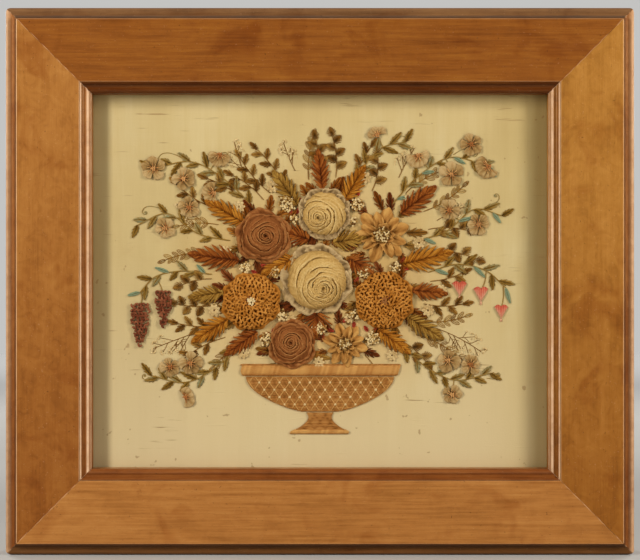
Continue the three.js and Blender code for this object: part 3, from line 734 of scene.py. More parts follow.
# x, y, angle, length, width, colour
LEAVES = {
    "leaf_left_high": (-72, 18, 172, 46, 21, "plum"),
    "leaf_left_top": (-68, 52, 150, 40, 19, "rust"),
    "leaf_left_middle": (-86, -10, 188, 32, 15, "brown"),
    "leaf_left_low": (-82, -34, 212, 38, 18, "rust"),
    "leaf_rim_left": (-56, -45, 216, 36, 16, "plum"),
    "leaf_top_left": (-20, 68, 126, 38, 17, "brown"),
    "leaf_top": (2, 82, 96, 36, 15, "plum"),
    "leaf_top_right": (22, 72, 60, 36, 17, "rust"),
    "leaf_right_top": (72, 60, 38, 40, 19, "plum"),
    "leaf_right_high": (74, 15, 14, 46, 21, "rust"),
    "leaf_right_middle": (82, -8, -6, 32, 15, "plum"),
    "leaf_right_low": (78, -32, -32, 38, 18, "brown"),
    "leaf_rim_right": (52, -43, -37, 36, 16, "rust"),
    "leaf_gap_left": (-22, 21, 207, 34, 20, "rust"),
    "leaf_gap_upper_left": (-10, 37, 162, 28, 20, "plum"),
    "leaf_gap_right": (26, 20, -32, 26, 20, "plum"),
    "leaf_gap_upper_right": (12, 34, 10, 30, 18, "brown"),
    "leaf_gap_low": (-2, -28, 262, 24, 30, "plum"),
}

# route, leaflets, blossoms as (share of the route, reach to its left, radius), hangers as (share, end)
SPRAYS = {
    "spray_upper_left": (
        [(-58, 64), (-82, 88), (-114, 106), (-148, 100)], 13,
        [(0.36, 15, 9.5), (0.5, -16, 10), (0.76, 15, 9), (1, 0, 9.5)], [],
    ),
    "spray_upper_right": (
        [(64, 68), (86, 92), (116, 110), (150, 102)], 13,
        [(0.44, 15, 9.5), (0.62, -15, 9.5), (0.8, 14, 8.5), (1, 0, 10)], [],
    ),
    "spray_top": ([(30, 80), (38, 100), (54, 118), (76, 124)], 10, [(0.7, 12, 7)], []),
    "spray_middle_left": (
        [(-80, 36), (-108, 42), (-136, 60), (-162, 50)], 10, [(0.55, -14, 8.5), (0.72, 13, 8.5)], [],
    ),
    "spray_middle_right": (
        [(86, 36), (112, 44), (138, 64), (162, 58)], 10, [(0.5, 13, 8.5), (0.72, -14, 8.5)], [],
    ),
    "spray_left": (
        [(-96, 6), (-122, 9), (-146, 4), (-160, -10)], 9, [], [(0.72, (-139, -14)), (0.98, (-160, -24))],
    ),
    "spray_right": (
        [(96, 8), (122, 15), (148, 9), (165, -6)], 9, [],
        [(0.42, (124, -4)), (0.7, (143, -9)), (0.96, (161, -25))],
    ),
    "spray_lower_left": (
        [(-74, -58), (-94, -78), (-120, -90), (-150, -84)], 13,
        [(0.52, -15, 9), (0.66, 13, 8), (0.84, -12, 8)], [],
    ),
    "spray_lower_right": (
        [(72, -56), (94, -76), (120, -88), (151, -82)], 13,
        [(0.5, 15, 9), (0.64, -13, 8), (0.84, 12, 8)], [],
    ),
}
# Which sprays have some pale leaflets, counted from 0
COOL_SPRAYS = (1, 4, 5, 6)
LEAFLET_LENGTH = 13
LEAFLET_WIDTH = 5.6
LEAFLET_SPREAD = 38
BLOSSOM_SPREAD = 1.24

# x, top, length, width
CLUSTERS = {"cluster_outer": (-160, -20, 38, 16), "cluster_inner": (-139, -9, 32, 14)}
# x, top, size
HEARTS = {"heart_inner": (124, 0, 13), "heart_middle": (143, -5, 13), "heart_outer": (161, -21, 12)}

BOWL_BASE, BOWL_TOP, BOWL_NARROW, BOWL_WIDE = -116, -84.4, 14, 66
RIM_BASE, RIM_TOP, RIM_WIDE = -84, -74, 72
FOOT_BASE, FOOT_TOP, FOOT_NARROW, FOOT_WIDE = -136, -116.4, 9, 32
LATTICE_WIDTH, LATTICE_HEIGHT = 9.0, 6.5

# Small stitches that lie between the solids' pieces
# x, y, angle, length, bend
SPRIGS = [
    (-30, 80, 112, 44, 10), (-10, 90, 96, 38, -8), (14, 92, 82, 36, 8), (-92, 64, 162, 40, -10),
    (-98, 24, 170, 38, 12), (-90, -20, 196, 36, -10), (-84, -50, 194, 46, 12), (92, 62, 18, 40, 10),
    (98, 26, 8, 40, -12), (92, -20, -14, 34, 8), (86, -48, -14, 46, -12), (46, 80, 62, 30, 10),
    (-50, 72, 128, 34, 8), (-34, -66, 222, 22, 6), (40, -66, -42, 22, -6), (-44, 78, 142, 40, -8),
    (-90, 50, 168, 34, 8), (-96, 2, 178, 26, 6), (-92, -40, 186, 34, -6), (-66, -54, 204, 34, 8),
    (96, 46, 12, 34, -8), (98, 0, 2, 28, 6), (94, -36, -6, 34, 8), (70, -52, -24, 30, -8),
    (-70, 74, 140, 34, 6), (76, 78, 46, 34, -8), (0, 96, 90, 30, 4), (30, 88, 74, 34, -6),
]
# x, y, angle, length
MISTS = [
    (-66, 92, 112, 34), (70, 92, 66, 30), (-106, -44, 200, 46), (104, -42, -20, 46), (-22, 98, 118, 28),
    (-102, 52, 148, 30), (104, 54, 30, 28),
]
# x, y, angle, length, curl
TENDRILS = [
    (-120, 108, 150, 34, 1), (-88, 94, 108, 30, -1), (-140, 64, 160, 26, 1), (118, 112, 34, 32, -1),
    (146, 66, 12, 24, 1), (60, 120, 50, 26, -1), (-146, -88, 190, 18, -1), (148, -86, -14, 18, 1),
]
# x, y, radius, of the balls of knots and then of the looped flowers
KNOT_BALLS = [
    (-29, 69, 7.5), (33, 68, 6), (-40, 9, 6.5), (40, 9, 6.5), (-1, -41, 6.5), (-47, -52, 6), (47, -51, 6),
    (-34, -30, 5), (31, -29, 5.5), (-67, 12, 5), (67, 12, 5), (-23, 55, 4), (29, 53, 4),
]
DAISIES = [
    (-23, 37, 5), (25, 39, 5), (-1, -72, 5), (-84, 26, 5.5), (88, 34, 5.5), (-94, -26, 5.5), (96, -26, 5.5),
    (-42, 84, 5.5), (40, 92, 5.5), (-4, 96, 5), (-72, 66, 5.5), (80, 74, 5), (-68, -64, 5), (64, -66, 5),
    (-108, -12, 5), (108, -8, 5), (-26, -34, 4.5), (26, -33, 4.5),
]


# Needlework: lines and stitches


def placed(points, x, y, degrees=0.0, lift=0.0):
    """Points turned in the picture's plane and then moved."""
    cos, sin = math.cos(math.radians(degrees)), math.sin(math.radians(degrees))
    px, py = points[..., 0], points[..., 1]
    return np.stack([x + cos * px - sin * py, y + sin * px + cos * py, points[..., 2] + lift], -1)


def line_length(line):
    return float(np.linalg.norm(np.diff(line, axis=0), axis=1).sum())


def about(angle, reach, rise):
    """Points at angles and distances from the middle, with their heights."""
    return np.stack(np.broadcast_arrays(reach * np.cos(angle), reach * np.sin(angle), rise), -1)


def even(line, spacing):
    """The same line in even steps."""
    reach = np.concatenate([[0], np.cumsum(np.linalg.norm(np.diff(line, axis=0), axis=1))])
    steps = np.linspace(0, reach[-1], max(4, round(reach[-1] / spacing) + 1))
    return np.stack([np.interp(steps, reach, line[:, k]) for k in range(line.shape[1])], -1)


def smooth_line(corners):
    """Even steps along a centripetal curve through the corners."""
    corners = np.array(corners, float)
    ends = [2 * corners[0] - corners[1], *corners, 2 * corners[-1] - corners[-2]]
    parts = []
    for quad in zip(ends, ends[1:], ends[2:], ends[3:]):
        knot = np.cumsum([0.0] + [math.sqrt(math.dist(a, b)) for a, b in zip(quad, quad[1:])])
        t = np.linspace(knot[1], knot[2], 60, endpoint=False)[:, None]
        level = [np.broadcast_to(p, (60, 2)) for p in quad]
        for gap in (1, 2):
            level = [
                (a * (knot[i + gap] - t) + b * (t - knot[i])) / (knot[i + gap] - knot[i])
                for i, (a, b) in enumerate(zip(level, level[1:]))
            ]
        a, b = level
        parts.append((a * (knot[2] - t) + b * (t - knot[1])) / (knot[2] - knot[1]))
    return even(np.concatenate([*parts, corners[-1:]]), 0.5)


def bent_line(x, y, angle, length, bend):
    """A stem that leaves a point at an angle and bows sideways by bend."""
    share = np.linspace(0, 1, 30)
    points = np.stack([length * share, bend * share**2, 0 * share], -1)
    return even(placed(points, x, y, angle)[:, :2], 0.5)


def along(line, share):
    """Points and directions at shares of a line's length."""
    index = np.asarray(share, float) * (len(line) - 1)
    whole = np.arange(len(line))
    slope = np.gradient(line, axis=0)
    point = np.stack([np.interp(index, whole, line[:, k]) for k in (0, 1)], -1)
    return point, unit(np.stack([np.interp(index, whole, slope[:, k]) for k in (0, 1)], -1))


def heading(run):
    return math.degrees(math.atan2(run[1], run[0]))


def stem_stitch(batch, line, radius, stitch, shade, height=0.0):
    """Overlapping slanted stitches along a line."""
    length = line_length(line)
    count = max(2, round(2 * length / stitch))
    reach = min(0.49, stitch / 2 / length)
    step = np.linspace(-1, 1, 4)
    point, run = along(line, np.linspace(reach, 1 - reach, count)[:, None] + step * reach)
    side = np.stack([-run[..., 1], run[..., 0]], -1)
    point = point + side * (step * 0.7 * radius)[:, None]
    rise = height + radius * (0.1 + 1.1 * np.cos(step * 1.35))
    paths = np.concatenate([point, np.broadcast_to(rise[:, None], (count, 4, 1))], -1)
    vary = 0.16 * noise(point[:, 1, 0] * 3.1, point[:, 1, 1] * 3.1, 7)
    batch.tubes(paths, radius * (1.05 - 0.3 * step**2), 4, shade + vary, relief=0.1)


def leaf_threads(length, width, pitch, slant, teeth, depth, steps=4, crown=0.6):
    """Threads that slant from a leaf's midrib to its toothed edge: threads by steps by 3."""

    def half(share):
        return width / 2 * np.sin(np.pi * np.clip(share, 0.01, 0.995) ** 0.8) ** 0.8

    count = max(4, round(length / pitch))
    root = (np.arange(count) + 0.3) / (count + 1)
    tip = np.minimum(root + slant * half(root) / length * (1 - 0.3 * root), 0.995)
    reach = half(tip) * (1 - depth * (1 - (tip * teeth) % 1) if teeth else 1)
    k = np.linspace(0, 1, steps)
    x = length * (root[:, None] + (tip - root)[:, None] * k)
    y = 0.12 + reach[:, None] * k
    z = np.broadcast_to(crown * np.sin(np.pi * (0.2 + 0.75 * k)), x.shape)
    side = np.stack([x, y, z], -1)
    return np.concatenate([side, side * [1, -1, 1]])


def floss_leaf(batch, x, y, angle, length, width, shade, teeth=0, pitch=0.82, painted_split_shade=0.25):
    """A small satin-stitched leaf with a split down its middle."""
    paths = leaf_threads(length, width, pitch, 1.2, teeth, 0.4)
    vary = 0.1 * noise(np.arange(len(paths)) * 0.37, x + y, 4)
    # Painted shade on the split down the middle.
    fade = shade + vary[:, None] + np.array([-painted_split_shade, 0, 0.08, 0.02])
    batch.tubes(placed(paths, x, y, angle, 0.15), [0.34, 0.5, 0.48, 0.26], 3, fade, relief=0.08)


def daisy(batch, x, y, radius, turn):
    """Looped petals, each over one straight stitch, round a dark knot."""
    t = np.linspace(0.06, 0.94, 7) * 2 * np.pi
    loop = np.stack([0.55 - 0.45 * np.cos(t), 0.2 * np.sin(t), 0.12 * np.sin(t / 2) + 0.03], -1) * radius
    stitch = np.stack([np.linspace(0.2, 0.92, 7), 0 * t, 0.1 + 0.06 * np.sin(t / 2)], -1) * radius
    for degrees in np.degrees(circle(8, turn)):
        both = placed(np.stack([loop, stitch]), x, y, degrees, 0.25)
        batch.tubes(both, 0.42, 4, 0.75 + 0.1 * math.sin(degrees), relief=0.1)
    batch.knots([(x, y, 0.3)], 0.8, 0.1)


def knot_disc(radius, spacing, seed):
    """Close-set places for knots on a low mound."""
    count = round(0.8 * (2 * radius / spacing) ** 2)
    index = np.arange(count) + 0.5
    turn = index * 2.39996
    reach = radius * np.sqrt(index / count)
    jitter = np.random.default_rng(seed).normal(0, 0.1 * spacing, (2, count))
    rise = 0.3 + 0.09 * radius * (1 - (reach / radius) ** 2) * 2
    return np.stack([reach * np.cos(turn) + jitter[0], reach * np.sin(turn) + jitter[1], rise], -1)


# Needlework: cloths and threads

# Roughness, sheen and fuzz, then the grain where it isn't the finest
FINISHES = {"crepe": (0.7, 0.12, 0.3, 1500), "chenille": (0.8, 0.2, 0.25, 1900), "floss": (0.5, 0.06, 0.08)}
# dark, middle and light, then for gauze how opaque it is
CLOTHS = {
    "gauze_cream": ("7c5c2a", "be9654", "d9b878", 1.0),
    "gauze_sheer": ("705634", "a8895c", "cdae7a", 0.86),
    "gauze_taupe": ("75542a", "ab8650", "c9a872", 0.82),
    "crepe_ochre": ("5e3008", "a4641f", "c8883c"),
    "crepe_mauve": ("4c2208", "8c5228", "b07a44"),
    "crepe_tan": ("6a3e10", "ae783a", "ca9852"),
    "chenille_plum": ("381204", "6e300c", "9e5a22"),
    "chenille_rust": ("482205", "8a4c0e", "ba7c2a"),
    "chenille_brown": ("402608", "7c541c", "a88038"),
    "chenille_purple": ("2e1008", "6c3420", "96583a"),
    "floss_gold": ("7a4818", "b0763a", "cc9a56"),
    "floss_olive": ("684610", "a07a34", "90a07e"),
    "floss_brown": ("5c360c", "8e6024", "b48c44"),
    "floss_rust": ("582808", "8c4c16", "b87c32"),
    "floss_plum": ("3e1606", "743614", "9c5c2e"),
    "floss_coral": ("8a2418", "bb4a34", "e0a884"),
    "floss_orange": ("7a3c14", "b4703a", "dca868"),
    "floss_cream": ("96743c", "caa86c", "e4ca94"),
    "floss_knots": ("5a3412", "b08644", "e0c48c"),
}
# Each other cloth has a slot of its own name
SHARED_SLOTS = {
    "gauze_sheer": "gauze_cream", "gauze_taupe": "gauze_cream", "floss_brown": "floss_olive",
    "floss_rust": "floss_olive", "floss_plum": "floss_olive", "floss_orange": "floss_coral",
    "floss_cream": "floss_gold", "floss_knots": "floss_gold",
}


def gauze_or_thread(name):
    kind = name.split("_")[0]
    if kind == "gauze":
        return gauze_material(name, *CLOTHS[name])
    return thread_material(name, *CLOTHS[name], *FINISHES[kind])


CLOTH_MATERIALS = {name: gauze_or_thread(name) for name in CLOTHS}


def sew(name, batch, cloth, *nodes, slot=None):
    """Makes a piece of needlework in its cloth's material."""
    slot = slot or SHARED_SLOTS.get(cloth, cloth)
    return make_piece(name, batch, [CLOTH_MATERIALS[cloth]], slot, nodes)


# Needlework: gathered flowers


def petal(batch, centre, spread, inner, outer, rise, shade, rows, columns, seed, bend=0.0, point=0.0):
    """A petal about a direction. rise gives its height at shares along and across it."""
    u, v = np.linspace(0, 1, rows)[:, None], np.linspace(-1, 1, columns)[None]
    ragged = 0.035 * noise(v * 2.2, seed, 9) + 0.02 * noise(v * 6, seed, 8)
    edge = outer * (1 - (0.12 + point) * np.abs(v) ** (2 - point) + ragged)
    reach = inner + (edge - inner) * u
    turn = centre + spread * v * (1 - 0.25 * point * u) + bend * u**2
    u, v = np.broadcast_arrays(u, v)
    batch.cloth(about(turn, reach, rise(u, v)), shade(u, v))


def gathered_petals(name, petals, cloth, node, x, y):
    petals.move(x, y)
    sew(name, petals, cloth, node)


def hollows(rise, reach=3):
    """How far each height stands above the mean of its neighbours."""
    rows = np.clip(np.arange(len(rise))[:, None] + np.arange(-reach, reach + 1), 0, len(rise) - 1)
    mean = rise[rows].mean(1)
    return rise - sum(np.roll(mean, k, 1) for k in range(-reach, reach + 1)) / (2 * reach + 1)


def ridges(sharpness, *place):
    """Noise folded into sharp ridges, from 0 to 1."""
    return (1 - np.abs(noise(*place))) ** sharpness


def wound_crown(crown, height, low, eye, eye_turn, winds, tight, relief, crumple, seed):
    """A mound of cloth wound about an eye, with winds folds that open out past tight, and creases."""
    around = np.arange(round(crown * 9))[None] / round(crown * 9)
    angle = 2 * np.pi * around
    edge = crown * (1 + 0.035 * noise(around * 5, 0, seed, 5))
    off = angle - eye_turn
    reach = np.sqrt(edge**2 - (eye * np.sin(off)) ** 2) - eye * np.cos(off)
    away = reach * np.linspace(0.015, 1, round(crown * 3.2))[:, None] ** 1.15
    px = eye * math.cos(eye_turn) + away * np.cos(angle)
    py = eye * math.sin(eye_turn) + away * np.sin(angle)
    out = np.minimum(np.hypot(px, py) / crown, 1)

    wound = winds * np.log1p(away / tight)
    warp = 0.42 * noise(around * 6, wound * 1.1, seed, 6)
    warp += 0.16 * noise(around * 17, wound * 1.7, seed + 8, 17)
    fold = (wound + around + warp) % 1
    rolled = np.where(fold < 0.14, smooth(fold / 0.14), np.clip(1 - (fold - 0.14) / 0.86, 0, 1) ** 1.2)
    broken = smooth(0.6 + 1.5 * noise(around * 7, wound * 1.3, seed + 1, 7))
    fade = (0.2 + 0.8 * broken) * (1 - out**8)
    gap = np.exp(-((np.minimum(fold, 1 - fold) / 0.05) ** 2)) * fade
    flow = around + 0.12 * wound + 0.05 * noise(around * 5, wound * 1.6, seed + 6, 5)
    bent_x, bent_y = (p + 1.3 * noise(px / 3, py / 3, seed + s) for p, s in ((px, 10), (py, 11)))
    sweep = ridges(3, flow * 24, wound * 0.8, seed + 2, 24)
    coarse = ridges(3, bent_x / 3.4, bent_y / 3.4, seed + 3)
    fine = ridges(2, bent_x / 1.5, bent_y / 1.5, seed + 4)
    wrap = ridges(2, around * 11, away / 1.5 + 2 * warp, seed + 7, 11)
    creases = 0.9 * (sweep - 0.3) + 0.4 * (coarse - 0.3) + 0.6 * (wrap - 0.4) + 0.4 * (fine - 0.4)
    rise = low + (height - low) * (1 - out**3.2) ** 0.7
    rise = rise + relief * (0.6 + 0.4 * np.exp(-away / 9)) * fade * (rolled - 0.45) - 0.35 * relief * gap
    rise = rise + crumple * smooth((away - 2) / 6) * creases * (1 - 0.6 * out**6)
    rise = rise + 0.12 * noise(px / 0.7, py / 0.7, seed) - 1.5 * np.exp(-((away / 1.7) ** 2))
    # Painted shade in the hollows, the fold gaps, the eye and round the rim, with painted highlights on the
    # rolled folds and ridges.
    shade = 0.6 + 0.16 * (rolled - 0.5) * fade + np.clip(0.4 * hollows(rise), -0.4, 0.25) - 0.14 * gap
    shade = shade - 0.5 * np.exp(-((away / 1.5) ** 2)) - 0.35 * out**8
    return np.stack([px, py, rise], -1), shade


def make_rose(name, x, y, radius, height, turn):
    """Crumpled gauze wound about an eye to one side, over sheer outer petals."""
    seed = round(radius)
    eye = (0.31 * radius, math.radians(turn))
    points, shade = wound_crown(0.87 * radius, height - 0.9, 0.9, *eye, 3.6, 2.6, 1.8, 0.8, seed)
    crown = Batch()
    crown.mound(placed(points, x, y), shade)
    sew(f"{name}_crown", crown, "gauze_cream", name)

    petals = Batch()
    for k, start in enumerate(circle(8, 0.7 * seed)):

        def rise_at(u, v):
            ruffle = 0.9 * np.sin(5 * v + k) * u + 0.7 * noise(u * 3 + k, v * 7, seed)
            ruffle += 0.3 * noise(u * 9, v * 15 + k, seed)
            rise = 3.6 - 2.1 * u + 0.7 * v + ruffle
            return rise + 1.3 * smooth((u - 0.7) / 0.2) - 0.8 * smooth((u - 0.93) / 0.07)

        def shade_at(u, v):
            tone = 0.34 * noise(u * 4, v * 7 + k, seed) + 0.2 * noise(u * 11, v * 15 + k, seed)
            # Painted shade: darker towards the base, under the crown.
            return 0.45 + tone + 0.35 * smooth((u - 0.8) / 0.15) - 0.3 * (1 - u)

        bend = 0.14 * math.sin(2.3 * k)
        petal(petals, start, 0.58, 0.5 * radius, 1.04 * radius, rise_at, shade_at, 14, 27, k, bend)
    gathered_petals(f"{name}_petals", petals, "gauze_sheer", name, x, y)


def make_carnation(name, x, y, radius, height, turn):
    """Folded strips ruched to and fro in rough rings, over a rim of wide petals."""
    seed = round(abs(x))
    ruffles = Batch()

    def top(reach):
        return 1.6 + (height - 1.6) * (1 - 0.9 * np.clip(reach / radius, 0, 1) ** 2.6)

    share = np.linspace(0.02, 1, 60)[:, None]
    points = about(circle(170)[None], 0.92 * radius * share, 0)
    crumple = noise(points[..., 0] / 1.7, points[..., 1] / 1.7, seed)
    points[..., 2] = np.maximum(top(share * radius) - 1.4 + 0.8 * crumple, 0.3)
    # Painted shade: the mound under the strips is darker than the strips, and lighter where it stands higher.
    ruffles.mound(points, 0.34 + 0.4 * crumple)
    for ring, reach in enumerate(np.arange(4.7, 0.86 * radius, 3.45)):
        waves = round(2 * np.pi * reach / 3.9)
        slow, quick = max(1, waves // 2), 2 * waves
        share = np.arange(waves * 15) / (waves * 15)
        count = share * waves
        wander = noise(count, ring * 3.3, seed, waves)
        phase = 2 * np.pi * waves * share + ring * 1.7 + 2.9 * wander
        size = 0.9 + 0.7 * noise(count, ring * 2.1, seed + 1, waves)
        out = reach + 2.1 * size * np.sin(phase) + 0.7 * noise(share * 7, ring, seed, 7)
        lean = 1.3 * noise(count * 0.5, ring * 5.1, seed + 5, slow)
        swing = 2 * np.pi * share + (0.95 * np.sin(2 * phase) + lean * np.sin(phase) + 0.8 * wander) / reach
        high = 0.75 * noise(count * 2, ring * 1.3, seed + 2, quick)
        path = about(swing, out, top(out) + high + 0.4 * np.sin(phase))
        # Painted shade: higher loops lighter.
        shade = 0.5 + 0.25 * high + 0.15 * noise(count * 0.5, ring, seed + 3, slow)
        width = 1.6 + 0.4 * noise(count * 2, ring, seed + 4, quick)
        ruffles.ruffle(path, width, 3.4, shade)
    ruffles.move(x, y)
    sew(f"{name}_ruffles", ruffles, "crepe_ochre", name)

    hem = Batch()
    for k, start in enumerate(circle(8, math.radians(turn))):

        def rise_at(u, v):
            ruffle = 0.5 * np.sin(4 * v + k) * u + 0.4 * noise(u * 3 + k, v * 6, seed)
            ruffle += 0.2 * noise(u * 8, v * 13 + k, seed)
            rise = 1.7 + 1.5 * np.sin(np.pi * (0.25 + 0.6 * u)) + 0.5 * v
            return rise + ruffle - 1.2 * smooth((u - 0.86) / 0.14)

        def shade_at(u, v):
            # Painted shade: darker towards the base, under the ruffles.
            return 0.35 + 0.3 * noise(u * 4, v * 6 + k, seed) + 0.3 * smooth((u - 0.7) / 0.25) - 0.2 * (1 - u)

        outer = radius * (0.99 + 0.03 * math.sin(5 * k))
        petal(hem, start, 0.5, 0.55 * radius, outer, rise_at, shade_at, 12, 21, k)
    gathered_petals(f"{name}_hem", hem, "crepe_ochre", name, x, y)

    middle = Batch()
    if turn < 90:
        middle.knots(placed(knot_disc(3.6, 1.7, seed), x, y, 0, height - 1.2), 0.95, 0.85)
    else:
        coil = np.linspace(0.6, 2.6, 60)
        path = about(coil * 7, coil, 1.5 - 0.3 * coil)
        middle.tubes(placed(path[None], x, y, 0, height - 1.4), 0.55, 6, 0.5, relief=0.2)
    sew(f"{name}_knots", middle, "floss_cream" if turn < 90 else "crepe_mauve", slot="floss_gold")
    dark = Batch()
    ring = about(circle(13), 4.4, height - 0.9)
    dark.knots(placed(ring + np.random.default_rng(seed).normal(0, 0.25, ring.shape), x, y), 0.75, 0.4)
    sew(f"{name}_dark_knots", dark, "chenille_purple")


def make_spiral(name, x, y, radius, height, turn):
    """Crepe rolled up from the middle in fine folds, with loose outer petals."""
    seed = round(abs(x + y))
    eye = (0.07 * radius, math.radians(turn))
    points, shade = wound_crown(0.76 * radius, height - 0.3, 2.6, *eye, 5.2, 6.0, 1.8, 0.6, seed)
    folds = Batch()
    folds.mound(placed(points, x, y), shade - 0.08)
    sew(f"{name}_folds", folds, "crepe_mauve", name)
    petals = Batch()
    for layer, (count, outer, low) in enumerate([(6, 1.02, 0.9), (5, 0.86, 2.5)]):
        for k, start in enumerate(circle(count, seed + layer)):

            def rise_at(u, v):
                wrinkles = 0.45 * noise(u * 3 + k, v * 6, seed) + 0.25 * noise(u * 8, v * 13 + k, seed)
                bowl = 2.6 * (1 - u) + 1.7 * smooth((u - 0.5) / 0.4) - 1.9 * smooth((u - 0.88) / 0.12)
                return low + bowl + 0.7 * v + wrinkles

            def shade_at(u, v):
                tone = 0.2 * noise(u * 4 + k, v * 6, seed) + 0.14 * noise(u * 9, v * 13 + k, seed)
                # Painted shade: darker towards the base, under the folds.
                return 0.42 + 0.25 * smooth((u - 0.6) / 0.35) - 0.3 * (1 - u) + tone

            reach, bend = outer * radius, 0.3 * math.sin(1.7 * k + layer)
            petal(petals, start, 4.2 / count, 0.5 * radius, reach, rise_at, shade_at, 16, 31, k, bend)
    gathered_petals(f"{name}_petals", petals, "crepe_mauve", name, x, y)


def make_star(name, x, y, radius, height, turn):
    """Two layers of pointed pleated petals, small upright ones inside, and knots in the middle."""
    seed = round(abs(x - y))
    rng = np.random.default_rng(seed)
    petals = Batch()
    for layer, (outer, low, shift) in enumerate([(1.02, 0.8, 0.0), (0.86, 2.1, 0.5)]):
        for k in range(6):
            start = math.radians(turn) + (k + shift) * 2 * np.pi / 6 + rng.uniform(-0.12, 0.12)

            def rise_at(u, v):
                crease = 0.8 * np.exp(-((v / 0.16) ** 2)) * (1 - u**2)
                pleats = 0.35 * np.cos(3 * np.pi * v + k) * (1 - 0.6 * u)
                pleats += 0.5 * noise(v * 4 + k, u * 1.5, seed)
                arch = 1.6 * np.sin(np.pi * (0.1 + 0.75 * u)) - 0.5 * u
                curl = 0.9 * np.abs(v) ** 3 * u * (1 if k % 2 else 0.3)
                crumple = 0.28 * noise(u * 7, v * 7 + k, seed) + 0.14 * noise(u * 15, v * 15 + k, seed)
                return low + arch - crease + pleats + curl + crumple

            def shade_at(u, v):
                crease = np.exp(-((v / 0.14) ** 2)) * (1 - u)
                streaks = 0.26 * noise(v * 5 + k, u * 1.2, seed) + 0.18 * noise(u * 5 + k, v * 7, seed)
                # Painted shade in the middle crease and towards the base.
                return 0.56 - 0.4 * crease + streaks - 0.35 * (1 - u) ** 2

            reach = outer * radius * (1 + rng.uniform(-0.1, 0.0))
            spread, bend = 0.66 - 0.1 * layer, rng.uniform(-0.16, 0.16)
            petal(petals, start, spread, 0.2 * radius, reach, rise_at, shade_at, 17, 23, k, bend, 0.5)
    gathered_petals(f"{name}_petals", petals, "crepe_tan", name, x, y)
    collar = Batch()
    for k, start in enumerate(circle(7, math.radians(turn))):

        def cup_rise(u, v):
            return height - 4.6 + 3.2 * u - 0.6 * v**2 + 0.5 * noise(u * 2 + k, v * 3, seed)

        def cup_shade(u, v):
            # Painted shade: darker towards the inside of the cup.
            return 0.3 + 0.35 * u + 0.2 * noise(v * 4, u * 3 + k, seed)

        reach, bend = radius * rng.uniform(0.36, 0.46), rng.uniform(-0.3, 0.3)
        petal(collar, start, 0.5, 0.2 * radius, reach, cup_rise, cup_shade, 8, 13, k, bend, 0.3)
    gathered_petals(f"{name}_collar", collar, "crepe_tan", name, x, y)
    knots = Batch()
    places = knot_disc(0.27 * radius, 1.4, seed)
    tones = rng.choice([0.1, 0.3, 0.55, 0.9], len(places))
    knots.knots(placed(places, x, y, 0, height - 3.0), 0.8, tones)
    sew(f"{name}_knots", knots, "floss_knots")


# Needlework: stitched pieces


def make_leaf(name, x, y, angle, length, width, colour):
    """Chenille strands side by side from the midrib, longest at the tip of each tooth."""
    rng = np.random.default_rng(sum(map(ord, name)))
    steps, hairs = 7, 6
    paths = leaf_threads(length, 1.14 * width, 1.1, 1.15, 7, 0.36, steps, 1.3)
    paths = paths + rng.normal(0, 0.13, paths.shape)
    k = np.linspace(0, 1, steps)
    radius = 0.92 * (1 - 0.5 * k**3) * rng.uniform(0.82, 1.2, paths.shape[:2])
    # Painted shade along the midrib, where the strands dip.
    shade = 0.45 + rng.uniform(-0.26, 0.26, (len(paths), 1)) + 0.18 * k - 0.35 * np.exp(-k * 9)
    batch = Batch()
    batch.tubes(placed(paths, x, y, angle, 0.55), radius, 5, shade, relief=0.16)
    start = np.repeat(paths, hairs, axis=0)
    pick = rng.integers(0, steps - 1, len(start))
    rows = np.arange(len(start))
    base, ahead = start[rows, pick], start[rows, pick + 1]
    tips = base + 0.75 * unit(ahead - base) + rng.normal(0, 0.55, base.shape) + [0, 0, 0.75]
    base, tips = (placed(p, x, y, angle, 0.75) for p in (base, tips))
    batch.spikes(base, tips, 0.1, rng.uniform(0.35, 1, len(base)))
    sew(f"{name}_chenille", batch, f"chenille_{colour}", name)


def blossom(batch, knots, x, y, radius, turn):
    """Sheer uneven petals round a few knots. Every third is seen from one side, as a fan."""
    seed = round(abs(x + 3 * y))
    rng = np.random.default_rng(seed)
    count = int(rng.choice([4, 5, 5, 6]))
    starts = circle(count, turn) if seed % 3 else turn + np.linspace(-1.3, 1.3, count)
    for k, start in enumerate(starts):
        lift, tone = rng.uniform(0, 0.7), rng.uniform(-0.16, 0.16)

        def rise_at(u, v):
            ruffle = 0.35 * u * np.sin(4 * v + 3 * lift) + 0.35 * noise(u * 3, v * 4 + k, seed)
            return 0.45 + lift + 1.1 * np.sin(np.pi * 0.85 * u) + ruffle + 0.3 * v * u

        def shade_at(u, v):
            # Painted shade: darker towards the middle.
            return 0.47 + tone + 0.25 * u - 0.35 * (1 - u) ** 2 + 0.25 * noise(u * 3, v * 5 + k + x, 3)

        reach, bend = radius * rng.uniform(0.82, 1.04), rng.uniform(-0.3, 0.3)
        petal(batch, start, 2.9 / count, 0.1 * radius, reach, rise_at, shade_at, 8, 11, k, bend)
    batch.move(x, y, count)
    stamens = []
    for bearing in np.linspace(starts[0] - 0.3, starts[-1] + 0.3, 9) + rng.uniform(-0.15, 0.15, 9):
        reach = radius * rng.uniform(0.35, 0.55) * np.array([0.15, 0.6, 1.0])
        stamens.append(about(bearing, reach, [1.5, 2.0, 1.9]))
    knots.tubes(placed(np.array(stamens), x, y), [0.26, 0.24, 0.34], 4, rng.uniform(0.4, 1.0, 9))
    knots.knots(placed(knot_disc(2.0, 1.25, seed), x, y, 0, 1.4), 0.66, rng.uniform(0.35, 0.8))


